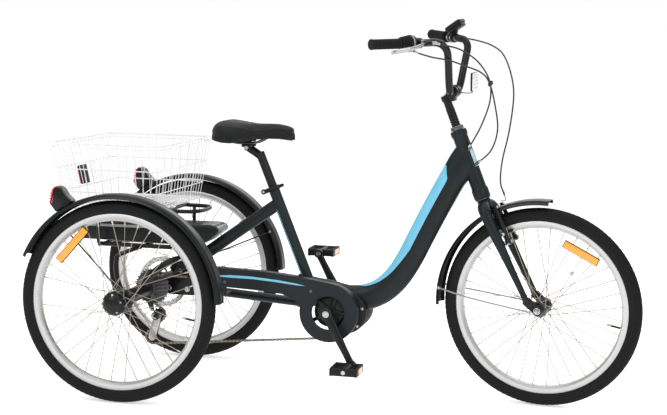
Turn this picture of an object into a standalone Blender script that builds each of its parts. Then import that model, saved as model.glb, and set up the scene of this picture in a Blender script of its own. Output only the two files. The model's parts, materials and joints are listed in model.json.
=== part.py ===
"""Adult electric-assist tricycle: step-through frame, two driven-axle rear wheels, basket and rack battery.

Units are metres, +X is forward, +Y is the rider's left, +Z is up. All places below are measured from the
ground point under the rear axle; one root empty then carries everything to the middle of the footprint.
"""

import math

import bmesh
import bpy
from mathutils import Matrix, Vector

GAP = 0.0003

# Layout
WHEELBASE = 1.2006
TRACK = 0.690
CENTRE_X = 0.5988
AXLE_Z = 0.298

# Wheels (24 x 1.75)
TYRE_R = 0.298
TYRE_SEAT_R = 0.2593
TYRE_HALF_WIDTH = 0.022
RIM_R = 0.2590
RIM_INNER_R = 0.2385
RIM_HALF_WIDTH = 0.0145
SPOKES = 18
SPOKE_HALF = 0.0014
WHEEL_STEPS = 40

# Rear axle and its carrier
AXLE_R = 0.010
HOUSING_R = 0.024
HOUSING_OUT_Y = 0.297
HOUSING_IN_RIGHT = 0.115
HOUSING_IN_LEFT = 0.078
DISC_R = 0.080
DISC_Y = 0.050
CASSETTE_Y = -0.066
CASSETTE_HALF = 0.017
CASSETTE_R = 0.0565
SPROCKET_R = 0.0384

# Steering
HEAD_TILT = math.radians(22.0)
RAKE = 0.055
STEER_REST = math.radians(-9.2)
HEAD_BOTTOM = 0.392
HEAD_TOP = 0.560
HEAD_R = 0.0225
HEAD_BORE_R = 0.0165
STEERER_R = 0.0143
STEERER_TOP = 0.5795
STEM_TOP = 0.684
BAR_R = 0.011
BAR_CLAMP = (0.9190, 0.0, 0.9270)
GRIP_HEIGHT = 0.1495
GRIP_END = (-0.161, 0.278)
GRIP_SWEEP = math.radians(50.0)
GRIP_R = 0.0155

# Drive
CRANK_X = 0.570
CRANK_Z = 0.256
CRANK_LENGTH = 0.168
CRANK_ANGLE = math.radians(-60.0)
CHAINRING_R = 0.0809
PULLEY_R = 0.0222
GUIDE_PULLEY = (0.026, 0.214)
TENSION_PULLEY = (0.008, 0.143)
CHAIN_HALF = 0.0032
CHAIN_Y = -0.066
MOTOR_X = 0.612
MOTOR_Z = 0.252
MOTOR_R = 0.066

# Seat
SEAT_TILT = math.radians(22.7)
SEAT_POINT = (0.4007, 0.5431)
SEAT_TUBE_R = 0.0168
SEAT_POST_R = 0.0136

# Fenders
FENDER_R = 0.318
FRONT_FENDER_R = 0.3235
FENDER_HALF_WIDTH = 0.030
FENDER_WALL = 0.0022

# Load bed
BASKET_TOP_Z = 0.752
BASKET_BOTTOM_Z = 0.549
RACK_Z = 0.5405
RAIL_Z = 0.424
LEG_Y = 0.285
BRACKET_FRONT_X = 0.135


# ---------------------------------------------------------------- scene helpers

def clear_scene():
    for obj in list(bpy.data.objects):
        bpy.data.objects.remove(obj, do_unlink=True)


def finish(name, colour, roughness, metallic=0.0):
    material = bpy.data.materials.new(name)
    material.use_nodes = True
    shader = material.node_tree.nodes["Principled BSDF"]
    shader.inputs["Base Color"].default_value = (*colour, 1.0)
    shader.inputs["Roughness"].default_value = roughness
    shader.inputs["Metallic"].default_value = metallic
    return material


clear_scene()

FRAME_PAINT = finish("frame_paint", (0.026, 0.033, 0.036), 0.48)
BLACK_PAINT = finish("black_paint", (0.010, 0.011, 0.012), 0.30)
BLACK_PLASTIC = finish("black_plastic", (0.014, 0.015, 0.016), 0.50)
GLOSS_FENDER = finish("fender_gloss", (0.008, 0.009, 0.010), 0.18)
RUBBER = finish("tyre_rubber", (0.016, 0.016, 0.017), 0.80)
GRIP_RUBBER = finish("grip_rubber", (0.020, 0.020, 0.021), 0.85)
RIM_ALLOY = finish("rim_alloy", (0.62, 0.63, 0.64), 0.38, 0.9)
STEEL = finish("bright_steel", (0.56, 0.56, 0.55), 0.28, 1.0)
CHAIN_STEEL = finish("chain_steel", (0.30, 0.26, 0.20), 0.42, 1.0)
WHITE_WIRE = finish("basket_wire", (0.86, 0.86, 0.85), 0.40)
SADDLE_SKIN = finish("saddle_cover", (0.026, 0.028, 0.030), 0.65)
BATTERY_CASE = finish("battery_case", (0.018, 0.019, 0.020), 0.42)
RED_LENS = finish("red_lens", (0.50, 0.012, 0.016), 0.18)
CLEAR_LENS = finish("clear_lens", (0.80, 0.82, 0.84), 0.15)
BLACK_CABLE = finish("black_cable", (0.012, 0.012, 0.013), 0.50)

REST = {}


def pivot(name, place, parent=None):
    """An empty on a joint's axis. place is its matrix with the steering straight ahead."""
    empty = bpy.data.objects.new(name, None)
    bpy.context.collection.objects.link(empty)
    REST[empty] = place
    if parent is not None:
        empty.parent = parent
        empty.matrix_basis = REST[parent].inverted() @ place
    return empty


def at(x, y, z):
    return Matrix.Translation((x, y, z))


def mesh_from(shape, name):
    bmesh.ops.recalc_face_normals(shape, faces=shape.faces[:])
    mesh = bpy.data.meshes.new(name)
    shape.to_mesh(mesh)
    shape.free()
    return mesh


def solid(name, shape, material, carrier):
    """One named solid, hung on its carrier with its origin on that carrier's axis."""
    mesh = mesh_from(shape, name)
    mesh.transform(REST[carrier].inverted())
    mesh.shade_smooth()
    mesh.set_sharp_from_angle(angle=math.radians(38))
    mesh.materials.append(material)
    obj = bpy.data.objects.new(name, mesh)
    bpy.context.collection.objects.link(obj)
    obj.parent = carrier
    return obj


# ---------------------------------------------------------------- shape helpers

def loft(rings, ends_joined=False):
    """A skin over rings of points; the two ends are capped unless they join up. A one-point ring is a tip."""
    shape = bmesh.new()
    made = [[shape.verts.new(point) for point in ring] for ring in rings]
    pairs = list(zip(made, made[1:]))
    if ends_joined:
        pairs.append((made[-1], made[0]))
    for lower, upper in pairs:
        count = max(len(lower), len(upper))
        for i in range(count):
            j = (i + 1) % count
            if len(lower) == 1:
                shape.faces.new((lower[0], upper[j], upper[i]))
            elif len(upper) == 1:
                shape.faces.new((lower[i], lower[j], upper[0]))
            else:
                shape.faces.new((lower[i], lower[j], upper[j], upper[i]))
    if not ends_joined:
        for ring in (made[0], made[-1]):
            if len(ring) > 2:
                shape.faces.new(ring)
    return shape


def moved(shape, matrix):
    shape.transform(matrix)
    return shape


def turned(profile, steps=24, start=0.0, end=360.0, loop=True):
    """A profile of (radius, y) points turned about the Y axis; part of a turn has capped ends."""
    whole = abs(end - start - 360.0) < 1e-6
    count = steps if whole else steps + 1
    angles = [math.radians(start + (end - start) * i / steps) for i in range(count)]
    if whole:
        rings = [
            [(0.0, y, 0.0)] if r == 0.0 else [(r * math.cos(a), y, r * math.sin(a)) for a in angles]
            for r, y in profile
        ]
        return loft(rings, ends_joined=loop)
    rings = [[(r * math.cos(a), y, r * math.sin(a)) for r, y in profile] for a in angles]
    return loft(rings)


def along(start, direction):
    """The matrix that lays the Y axis along a direction from a starting point."""
    turn = Vector((0.0, 1.0, 0.0)).rotation_difference(Vector(direction).normalized())
    return Matrix.Translation(start) @ turn.to_matrix().to_4x4()


def rod(start, end, radius, sides=12):
    start = Vector(start)
    run = Vector(end) - start
    profile = [(0.0, 0.0), (radius, 0.0), (radius, run.length), (0.0, run.length)]
    return moved(turned(profile, sides, loop=False), along(start, run))


def spline(points, steps=4):
    """A smooth run through the given points."""
    points = [Vector(point) for point in points]
    guide = [2 * points[0] - points[1], *points, 2 * points[-1] - points[-2]]
    smooth = []
    for before, here, there, after in zip(guide, guide[1:], guide[2:], guide[3:]):
        for i in range(steps):
            t = i / steps
            smooth.append(
                0.5 * (2 * here + (there - before) * t
                       + (2 * before - 5 * here + 4 * there - after) * t ** 2
                       + (3 * here - before - 3 * there + after) * t ** 3)
            )
    return [*smooth, points[-1]]


def swept(path, sizes, sides=12, side=(0.0, 1.0, 0.0)):
    """A tube along a path. sizes holds (half width along side, half height) for each point or for all."""
    path = [Vector(point) for point in path]
    if isinstance(sizes, tuple):
        sizes = [sizes] * len(path)
    reference = Vector(side)
    rings = []
    for i, (point, (wide, high)) in enumerate(zip(path, sizes)):
        tangent = (path[min(i + 1, len(path) - 1)] - path[max(i - 1, 0)]).normalized()
        reference = (reference - reference.dot(tangent) * tangent).normalized()
        upward = reference.cross(tangent)
        turns = [2 * math.pi * k / sides for k in range(sides)]
        rings.append([point + wide * math.cos(a) * reference + high * math.sin(a) * upward for a in turns])
    return loft(rings)


def wire(points, radius, steps=4, sides=8, side=(0.0, 1.0, 0.0)):
    return swept(spline(points, steps), (radius, radius), sides, side)


def sizes_between(marks, count):
    """Sizes for count points, read evenly from a few (share, half width, half height) marks."""
    found = []
    for i in range(count):
        share = i / (count - 1)
        for (s0, w0, h0), (s1, w1, h1) in zip(marks, marks[1:]):
            if share <= s1 + 1e-9:
                t = (share - s0) / (s1 - s0)
                found.append((w0 + (w1 - w0) * t, h0 + (h1 - h0) * t))
                break
    return found


def prism(outline, y0, y1):
    """An outline of (x, z) points extruded along Y."""
    return loft([[(x, y, z) for x, z in outline] for y in (y0, y1)])


def block(low, high, bevel=0.0, segments=1):
    shape = bmesh.new()
    bmesh.ops.create_cube(shape, size=1.0)
    low, high = Vector(low), Vector(high)
    size = high - low
    shape.transform(Matrix.Translation((low + high) / 2) @ Matrix.Diagonal((*size, 1.0)))
    if bevel:
        bmesh.ops.bevel(shape, geom=shape.edges[:], offset=bevel, segments=segments, affect="EDGES", profile=0.5)
    return shape


def arc(cx, cz, radius, start, end, count):
    """count points on an arc in the XZ plane, angles in degrees."""
    angles = [math.radians(start + (end - start) * i / (count - 1)) for i in range(count)]
    return [(cx + radius * math.cos(a), cz + radius * math.sin(a)) for a in angles]


def flatten(shape):
    """Splits the faces that aren't quite flat into triangles."""
    bent = [
        face for face in shape.faces
        if len(face.verts) > 3
        and max(abs((vert.co - face.verts[0].co).dot(face.normal)) for vert in face.verts) > 1e-7
    ]
    bmesh.ops.triangulate(shape, faces=bent)


def closed(shape):
    return all(len(edge.link_faces) == 2 for edge in shape.edges)


def boolean(shape, tools, operation):
    """The exact solver's result or, where that isn't closed, the manifold solver's."""
    used = []
    for operand in (shape, *tools):
        operand.normal_update()
        flatten(operand)
        obj = bpy.data.objects.new("operand", mesh_from(operand, "operand"))
        bpy.context.collection.objects.link(obj)
        used.append(obj)
    base, *others = used
    for other in others:
        step = base.modifiers.new("step", "BOOLEAN")
        step.operation = operation
        step.object = other
    for solver in ("EXACT", "MANIFOLD"):
        for step in base.modifiers:
            step.solver = solver
        result = bmesh.new()
        result.from_object(base, bpy.context.evaluated_depsgraph_get())
        if closed(result):
            break
    for obj in used:
        mesh = obj.data
        bpy.data.objects.remove(obj, do_unlink=True)
        bpy.data.meshes.remove(mesh)
    return result


def joined(shape, *others):
    return boolean(shape, others, "UNION")


def cut(shape, *cutters):
    return boolean(shape, cutters, "DIFFERENCE")


# ---------------------------------------------------------------- joints' carriers

HEAD_MATRIX = at(WHEELBASE - RAKE * math.cos(HEAD_TILT), 0.0, AXLE_Z - RAKE * math.sin(HEAD_TILT))
HEAD_MATRIX = HEAD_MATRIX @ Matrix.Rotation(-HEAD_TILT, 4, "Y")
CLAMP = Vector(BAR_CLAMP)


def head(x, y, z):
    """A point given in the steering axis's own frame: x ahead of the axis, z up along it from the axle."""
    return HEAD_MATRIX @ Vector((x, y, z))


def on_bar(x, y, z):
    return CLAMP + Vector((x, y, z))


def on_seat(distance, ahead=0.0, y=0.0):
    """A point distance up the seat tube's axis from its middle point."""
    x = SEAT_POINT[0] - distance * math.sin(SEAT_TILT) + ahead * math.cos(SEAT_TILT)
    z = SEAT_POINT[1] + distance * math.cos(SEAT_TILT) + ahead * math.sin(SEAT_TILT)
    return Vector((x, y, z))


def grip_point(side, from_end, ahead=0.0, z=0.0):
    """A point on a grip's line, from_end in from the bar's end and ahead of the line."""
    x = GRIP_END[0] + from_end * math.cos(GRIP_SWEEP) + ahead * math.sin(GRIP_SWEEP)
    y = GRIP_END[1] - from_end * math.sin(GRIP_SWEEP) + ahead * math.cos(GRIP_SWEEP)
    return on_bar(x, side * y, GRIP_HEIGHT + z)


PEDAL_OFFSET = Vector((CRANK_LENGTH * math.cos(CRANK_ANGLE), 0.0, CRANK_LENGTH * math.sin(CRANK_ANGLE)))
LEVER_FROM_END = 0.158
LEVER_AHEAD = 0.020
ARM_PIVOT = (0.040, 0.036, 0.218)

ROOT = pivot("tricycle", Matrix.Identity(4))
STEERING = pivot("steering", HEAD_MATRIX, ROOT)
FRONT_WHEEL = pivot("front_wheel", HEAD_MATRIX @ at(RAKE, 0.0, 0.0), STEERING)
DRIVE_AXLE = pivot("drive_axle", at(0.0, 0.0, AXLE_Z), ROOT)
LEFT_WHEEL = pivot("left_wheel", at(0.0, TRACK / 2, AXLE_Z), ROOT)
FREEWHEEL = pivot("freewheel", at(0.0, CASSETTE_Y, AXLE_Z), ROOT)
CRANKS = pivot("cranks", at(CRANK_X, 0.0, CRANK_Z), ROOT)
PEDAL_RIGHT = pivot("pedal_right_axis", at(CRANK_X, -0.19, CRANK_Z) @ Matrix.Translation(PEDAL_OFFSET), CRANKS)
PEDAL_LEFT = pivot("pedal_left_axis", at(CRANK_X, 0.19, CRANK_Z) @ Matrix.Translation(-PEDAL_OFFSET), CRANKS)
DERAILLEUR = pivot("derailleur", at(GUIDE_PULLEY[0], CHAIN_Y, GUIDE_PULLEY[1]), ROOT)
CAGE = pivot("cage", at(GUIDE_PULLEY[0], CHAIN_Y, GUIDE_PULLEY[1]), DERAILLEUR)
GUIDE = pivot("guide_axis", at(GUIDE_PULLEY[0], CHAIN_Y, GUIDE_PULLEY[1]), CAGE)
TENSION = pivot("tension_axis", at(TENSION_PULLEY[0], CHAIN_Y, TENSION_PULLEY[1]), CAGE)
BATTERY = pivot("battery_slide", at(-0.02, 0.0, 0.466), ROOT)
SEAT = pivot("seat_slide", Matrix.Translation(on_seat(0.09)) @ Matrix.Rotation(-SEAT_TILT, 4, "Y"), ROOT)
SEAT_RELEASE = pivot("seat_release", Matrix.Translation(on_seat(0.078, -0.027)), ROOT)
LEVER_RIGHT = pivot("lever_right_axis", Matrix.Translation(grip_point(-1, LEVER_FROM_END, LEVER_AHEAD)), STEERING)
LEVER_LEFT = pivot("lever_left_axis", Matrix.Translation(grip_point(1, LEVER_FROM_END, LEVER_AHEAD)), STEERING)
SHIFTER = pivot("shifter_axis", Matrix.Translation(grip_point(-1, 0.125)), STEERING)
ARM_RIGHT = pivot("arm_right_axis", HEAD_MATRIX @ at(ARM_PIVOT[0], -ARM_PIVOT[1], ARM_PIVOT[2]), STEERING)
ARM_LEFT = pivot("arm_left_axis", HEAD_MATRIX @ at(*ARM_PIVOT), STEERING)


# ---------------------------------------------------------------- frame

def head_tube():
    flare = HEAD_R + 0.0025
    top = HEAD_TOP + 0.017
    foot = HEAD_BOTTOM - 0.030
    profile = [
        (HEAD_BORE_R, foot), (flare - 0.002, foot), (flare, foot + 0.003), (flare, HEAD_BOTTOM),
        (HEAD_R, HEAD_BOTTOM + 0.004), (HEAD_R, HEAD_TOP - 0.004), (flare, HEAD_TOP),
        (flare, top - 0.004), (flare - 0.005, top), (HEAD_BORE_R, top),
    ]
    shape = moved(turned(profile, 24), along(head(0, 0, 0), head(0, 0, 1) - head(0, 0, 0)))
    solid("head_tube", shape, FRAME_PAINT, ROOT)


def head_cutter():
    return rod(head(0, 0, HEAD_BOTTOM - 0.06), head(0, 0, HEAD_TOP + 0.06), HEAD_R + 0.003, 24)


DOWN_PATH = [
    (0.958, 0, 0.722), (0.925, 0, 0.672), (0.892, 0, 0.610), (0.860, 0, 0.547), (0.829, 0, 0.483),
    (0.799, 0, 0.421), (0.764, 0, 0.364), (0.724, 0, 0.323), (0.676, 0, 0.298), (0.620, 0, 0.290),
    (0.560, 0, 0.298), (0.505, 0, 0.3025), (0.455, 0, 0.3035),
]
DOWN_SIZES = [
    (0.0, 0.024, 0.046), (0.10, 0.027, 0.040), (0.55, 0.029, 0.0395), (0.75, 0.030, 0.0395),
    (0.88, 0.028, 0.044), (1.0, 0.026, 0.052),
]


def down_tube_shape(grow=0.0):
    path = spline(DOWN_PATH, 2)
    sizes = [(w + grow, h + grow) for w, h in sizes_between(DOWN_SIZES, len(path))]
    return swept(path, sizes, 16)


def motor_cutter():
    return rod((MOTOR_X, -0.06, MOTOR_Z), (MOTOR_X, 0.095, MOTOR_Z), MOTOR_R + 0.001, 40)


def down_tube():
    solid("down_tube", cut(down_tube_shape(), head_cutter(), motor_cutter()), FRAME_PAINT, ROOT)


def seat_tube_rod(radius, low, high):
    return rod(on_seat(low), on_seat(high), radius, 20)


SEAT_TUBE_TOP = 0.070


def seat_tube():
    shape = seat_tube_rod(SEAT_TUBE_R, -0.228, SEAT_TUBE_TOP)
    bore = seat_tube_rod(SEAT_POST_R + 0.0004, -0.240, SEAT_TUBE_TOP + 0.02)
    solid("seat_tube", cut(shape, bore, down_tube_shape(GAP)), FRAME_PAINT, ROOT)


def bracket_cutter():
    """The space of the axle carrier's bracket, which both stays bolt to."""
    return block((0.05, -0.05, 0.20), (BRACKET_FRONT_X + GAP, 0.05, 0.45))


def rear_stay():
    path = [(0.110, 0, 0.3680), (0.245, 0, 0.4668), (0.386, 0, 0.568)]
    shape = swept(path, [(0.019, 0.019), (0.018, 0.019), (0.017, 0.019)], 16)
    solid("rear_stay", cut(shape, seat_tube_rod(SEAT_TUBE_R + GAP, -0.2, 0.2), bracket_cutter()), FRAME_PAINT, ROOT)


def chain_stay():
    path = spline([(0.120, 0, 0.2905), (0.25, 0, 0.282), (0.470, 0, 0.267)], 2)
    front = block((0.4540, -0.05, 0.20), (0.60, 0.05, 0.40))
    solid("chain_stay", cut(swept(path, (0.023, 0.0135), 16), bracket_cutter(), front), FRAME_PAINT, ROOT)


def motor_housing():
    profile = [
        (0.0, -0.048), (MOTOR_R - 0.008, -0.048), (MOTOR_R, -0.042), (MOTOR_R, 0.068), (MOTOR_R - 0.010, 0.084),
        (0.0, 0.084),
    ]
    shape = moved(turned(profile, 28, loop=False), at(MOTOR_X, 0.0, MOTOR_Z))
    bore = rod((CRANK_X, -0.1, CRANK_Z), (CRANK_X, 0.1, CRANK_Z), 0.0135, 16)
    solid("motor_housing", cut(shape, bore), BLACK_PLASTIC, ROOT)


def guard_outline(inset=0.0):
    """Teardrop: a round disc over the chainring, running back into a tapering arm."""
    radius = 0.0895 - inset
    disc = arc(CRANK_X, 0.2545, radius, 170.0, 442.0, 30)
    back = 0.125 + inset
    arm = [
        (0.506, 0.354 - inset), (0.44, 0.3625 - inset), (0.37, 0.3685 - inset), (0.217, 0.3735 - inset),
        (0.135 + inset, 0.369 - inset), (back, 0.358), (back, 0.333), (0.140, 0.320 + inset),
        (0.234, 0.3155 + inset), (0.36, 0.310 + inset), (0.425, 0.304 + inset), (0.462, 0.290 + inset),
    ]
    return disc + arm


def chain_guard():
    shape = prism(guard_outline(), -0.0865, -0.056)
    hollow = prism(guard_outline(0.0026), -0.0840, -0.050)
    below = block((0.10, -0.0840, 0.10), (CRANK_X, -0.050, 0.3215))
    hole = rod((CRANK_X, -0.1, 0.2545), (CRANK_X, -0.04, 0.2545), 0.051, 28)
    back = block((0.10, -0.0840, 0.10), (0.150, -0.050, 0.356))
    solid("chain_guard", cut(shape, hollow, below, back, hole), FRAME_PAINT, ROOT)


# ---------------------------------------------------------------- rear axle, brake and load bed

def ring(radius, bore, y0, y1, sides=24):
    return turned([(bore, y0), (radius, y0), (radius, y1), (bore, y1)], sides)


def bent_arm(side):
    return wire(
        [(0.0, side * 0.150, 0.312), (0.032, side * 0.146, 0.352), (0.072, side * 0.118, 0.384),
         (0.102, side * 0.066, 0.394), (0.108, side * 0.010, 0.394)], 0.011, 2, 8, (0.0, 0.0, 1.0),
    )


def axle_carrier():
    bore = AXLE_R + 0.0015
    right = moved(ring(HOUSING_R, bore, -HOUSING_OUT_Y, -HOUSING_IN_RIGHT, 20), at(0, 0, AXLE_Z))
    left = moved(ring(HOUSING_R, bore, HOUSING_IN_LEFT, HOUSING_OUT_Y, 20), at(0, 0, AXLE_Z))
    plate = [
        (0.032, 0.280), (0.050, 0.272), (0.125, 0.272), (BRACKET_FRONT_X, 0.280), (BRACKET_FRONT_X, 0.408), (0.127, 0.414),
        (0.094, 0.412), (0.080, 0.376), (0.050, 0.326), (0.032, 0.306),
    ]
    middle = prism(plate, -0.027, 0.027)
    hanger = prism([(-0.012, 0.283), (0.014, 0.283), (0.026, 0.262), (0.031, 0.234), (0.020, 0.234),
                    (0.006, 0.262), (-0.012, 0.268)], -0.122, -0.116)
    shape = joined(right, bent_arm(-1), middle, bent_arm(1), left, hanger)
    clear = rod((0, -0.4, AXLE_Z), (0, 0.4, AXLE_Z), bore, 20)
    solid("axle_carrier", cut(shape, clear), BLACK_PAINT, ROOT)


def brake_caliper():
    body = block((0.036, 0.034, 0.336), (0.088, 0.072, 0.368), 0.005)
    tilt = Matrix.Translation((0.052, 0, 0.350)) @ Matrix.Rotation(math.radians(-40), 4, "Y")
    body = moved(body, tilt @ Matrix.Translation((-0.062, 0, -0.352)))
    slot = moved(ring(DISC_R + 0.003, 0.03, DISC_Y - 0.0025, DISC_Y + 0.0025, 32), at(0, 0, AXLE_Z))
    solid("brake_caliper", cut(body, slot), BLACK_PAINT, ROOT)


def seat_collar():
    low = SEAT_TUBE_TOP + GAP
    shape = rod(on_seat(low), on_seat(low + 0.014), 0.0195, 20)
    ear = block((-0.010, -0.011, -0.007), (0.010, 0.011, 0.007), 0.002)
    ear = moved(ear, Matrix.Translation(on_seat(low + 0.007, -0.022)) @ Matrix.Rotation(-SEAT_TILT, 4, "Y"))
    bore = seat_tube_rod(SEAT_POST_R + 0.0004, low - 0.02, low + 0.04)
    solid("seat_collar", cut(joined(shape, ear), bore), BLACK_PAINT, ROOT)


def carrier_frame():
    """Legs up from the axle housing, two battery rails, and the loop that the basket sits on."""
    tube = 0.007
    half = 0.088
    shapes = []
    for side in (-1, 1):
        leg_y = side * LEG_Y
        foot = Vector((-0.42, 0, 0.908))
        start = Vector((0, leg_y, AXLE_Z)) + foot * (HOUSING_R + 0.0006)
        shapes.append(wire([start, start + foot * 0.028, (-0.030, leg_y, 0.380),
                            (-0.030, leg_y * 0.985, 0.412), (-0.030, leg_y * 0.90, RAIL_Z),
                            (-0.030, side * 0.08, RAIL_Z)], tube, 2, 8, (1.0, 0.0, 0.0)))
        shapes.append(rod((-0.178, side * 0.055, RAIL_Z), (0.131, side * 0.055, RAIL_Z), tube, 8))
        for x in (-0.165, 0.088):
            shapes.append(wire([(x, side * 0.055, RAIL_Z), (x, side * 0.082, RAIL_Z + 0.006),
                                (x, side * half, RAIL_Z + 0.03), (x, side * half, RACK_Z)],
                               0.0055, 1, 6, (1.0, 0.0, 0.0)))
    for x in (-0.165, -0.03, 0.088):
        shapes.append(rod((x, -0.08, RAIL_Z), (x, 0.08, RAIL_Z), 0.0052, 6))
    loop = [(-0.205, -0.07, RACK_Z), (-0.19, -half, RACK_Z), (-0.05, -half, RACK_Z), (0.10, -half, RACK_Z),
            (0.145, -0.066, RACK_Z), (0.158, 0.0, RACK_Z), (0.145, 0.066, RACK_Z), (0.10, half, RACK_Z),
            (-0.05, half, RACK_Z), (-0.19, half, RACK_Z), (-0.205, 0.07, RACK_Z)]
    shapes.append(wire(loop, 0.0062, 2, 6, (0.0, 0.0, 1.0)))
    for x in (-0.12, -0.02, 0.06):
        shapes.append(rod((x, -half, RACK_Z), (x, half, RACK_Z), 0.0045, 6))
    shapes.append(rod((0.124, -0.055, RAIL_Z), (0.124, 0.055, RAIL_Z), 0.0052, 6))
    solid("carrier_frame", joined(*shapes), BLACK_PAINT, ROOT)


def basket_corners(z, inset=0.0):
    """The basket's outline at a height: it tapers from its rim down to its floor."""
    down = (BASKET_TOP_Z - z) / 0.21
    rear = -0.266 + 0.049 * down + inset
    front = 0.095 - 0.028 * down - inset
    half = 0.260 - 0.029 * down - inset
    corner = 0.020
    steps = [math.radians(a) for a in (0, 30, 60, 90)]
    outline = []
    for cx, cy, turn in ((front, half, 0), (rear, half, 90), (rear, -half, 180), (front, -half, 270)):
        toward_x = -1 if cx == front else 1
        toward_y = -1 if cy > 0 else 1
        centre = Vector((cx + toward_x * corner, cy + toward_y * corner, z))
        for a in steps:
            angle = a + math.radians(turn)
            outline.append(centre + corner * Vector((math.cos(angle), math.sin(angle), 0)))
    return outline


def basket():
    wall = 0.0045
    outer = loft([basket_corners(BASKET_BOTTOM_Z), basket_corners(BASKET_TOP_Z)])
    inner = loft([basket_corners(BASKET_BOTTOM_Z + wall, wall), basket_corners(BASKET_TOP_Z + 0.02, wall)])
    solid("basket", cut(outer, inner), WHITE_WIRE, ROOT)


def basket_reflector():
    slope = math.atan2(0.049, 0.21)
    shape = block((-0.009, -0.034, -0.030), (0.0, 0.034, 0.030), 0.003)
    shape = moved(shape, at(-0.24495 - 0.0010, 0.0, 0.6345) @ Matrix.Rotation(-slope, 4, "Y"))
    solid("basket_reflector", shape, RED_LENS, ROOT)


def battery_pack():
    outline = [
        (-0.250, 0.464), (-0.236, 0.437), (0.146, 0.4325), (0.164, 0.4395), (0.203, 0.4680), (0.212, 0.479),
        (0.208, 0.492), (0.190, 0.498), (-0.240, 0.493), (-0.249, 0.484),
    ]
    shape = prism(outline, -0.060, 0.060)
    edges = [edge for edge in shape.edges if abs(edge.verts[0].co.y - edge.verts[1].co.y) < 1e-6]
    bmesh.ops.bevel(shape, geom=edges, offset=0.006, segments=2, affect="EDGES", profile=0.5)
    solid("battery_pack", shape, BATTERY_CASE, BATTERY)


# ---------------------------------------------------------------- fenders and lights

def fender_shell(radius, start, end, steps):
    """A shallow arch swept round the wheel's axis."""
    half = FENDER_HALF_WIDTH
    outer = [(radius - drop, half * share) for share, drop in
             ((-1.0, 0.0125), (-0.90, 0.0055), (-0.50, 0.0012), (0.50, 0.0012), (0.90, 0.0055),
              (1.0, 0.0125))]
    inner = [(r - FENDER_WALL, y * 0.93) for r, y in reversed(outer[1:-1])]
    inner = [(radius - 0.0128, 0.93 * half), *inner, (radius - 0.0128, -0.93 * half)]
    return turned(outer + inner, steps, start, end)


def rear_fender(side, name):
    shell = moved(fender_shell(FENDER_R, 2.5, 156.5, 20), at(0, side * TRACK / 2, AXLE_Z))
    edge_y = side * (TRACK / 2 - 0.0285)
    start_y = side * 0.2985
    edge_r = FENDER_R - 0.010
    stays = []
    for angle, root in ((27.0, (0.016, 0.326)), (132.0, (-0.016, 0.326))):
        x = edge_r * math.cos(math.radians(angle))
        z = AXLE_Z + edge_r * math.sin(math.radians(angle))
        lean = Vector((x - root[0], 0, z - root[1])).normalized() * 0.05
        stays.append(wire([(root[0], start_y, root[1]),
                           (x - lean.x, side * (TRACK / 2 - 0.036), z - lean.z), (x, edge_y, z)],
                          0.0024, 2, 6))
    solid(name, joined(shell, *stays), GLOSS_FENDER, ROOT)


def tail_light(side, name):
    """A wedge-shaped lamp on a foot that follows the fender's crown."""
    y = side * TRACK / 2
    lamp = [(-0.206, 0.577), (-0.199, 0.622), (-0.188, 0.631), (-0.172, 0.627), (-0.156, 0.603),
            (-0.138, 0.5885), (-0.142, 0.5845), (-0.190, 0.5575)]
    body = prism(lamp, y - 0.021, y + 0.021)
    edges = [edge for edge in body.edges if abs(edge.verts[0].co.y - edge.verts[1].co.y) < 1e-6]
    bmesh.ops.bevel(body, geom=edges, offset=0.003, segments=1, affect="EDGES")
    under = moved(turned([(0.1, -0.05), (FENDER_R + GAP, -0.05), (FENDER_R + GAP, 0.05), (0.1, 0.05)], 120),
                  at(0, y, AXLE_Z))
    solid(name, cut(body, under), RED_LENS, ROOT)


def front_fender():
    centre = head(RAKE, 0, 0)
    shell = moved(fender_shell(FRONT_FENDER_R, 86.5, 182.5, 16), Matrix.Translation(centre))
    stays = []
    for side in (-1, 1):
        angle = math.radians(173.0)
        edge = FRONT_FENDER_R - 0.010
        rim_end = centre + Vector((edge * math.cos(angle), side * 0.0285, edge * math.sin(angle)))
        low_end = centre + Vector((-0.020, side * 0.0625, -0.004))
        stays.append(wire([low_end, centre + Vector((-0.20, side * 0.052, 0.020)), rim_end], 0.0024, 2, 6))
    solid("front_fender", joined(shell, *stays), GLOSS_FENDER, STEERING)


# ---------------------------------------------------------------- wheels

def tyre_profile():
    half = TYRE_HALF_WIDTH
    crown = TYRE_R - half
    section = [(TYRE_SEAT_R, -0.0125)]
    for degrees in range(-70, 71, 35):
        a = math.radians(degrees)
        section.append((crown + half * math.cos(a), half * math.sin(a)))
    return [*section, (TYRE_SEAT_R, 0.0125)]


def rim_profile():
    half = RIM_HALF_WIDTH
    return [
        (RIM_INNER_R, -0.007), (RIM_INNER_R + 0.006, -half), (RIM_R, -half), (RIM_R, half),
        (RIM_INNER_R + 0.006, half), (RIM_INNER_R, 0.007),
    ]


BOTTOM_FIRST = Matrix.Rotation(math.radians(90), 4, "Y")


def spoke_set(flange_r, flange_y):
    """Three-sided spokes from alternate hub flanges to the rim."""
    shape = bmesh.new()
    for i in range(SPOKES):
        side = 1 if i % 2 else -1
        start = Vector((flange_r - 0.003, side * flange_y, 0))
        end = Vector((RIM_INNER_R * math.cos(math.pi / WHEEL_STEPS) - GAP, side * 0.003, 0))
        tangent = (end - start).normalized()
        across = Vector((0, 0, 1)) * SPOKE_HALF
        upward = tangent.cross(Vector((0, 0, 1))) * SPOKE_HALF
        turn = Matrix.Rotation(2 * math.pi * (i + 0.3) / SPOKES, 4, "Y")
        rings = []
        for point in (start, end):
            corners = (across - upward, -across - upward, upward)
            rings.append([shape.verts.new(turn @ (point + corner)) for corner in corners])
        for k in range(3):
            shape.faces.new((rings[0][k], rings[0][(k + 1) % 3], rings[1][(k + 1) % 3], rings[1][k]))
        for corners in rings:
            shape.faces.new(corners)
    return shape


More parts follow.
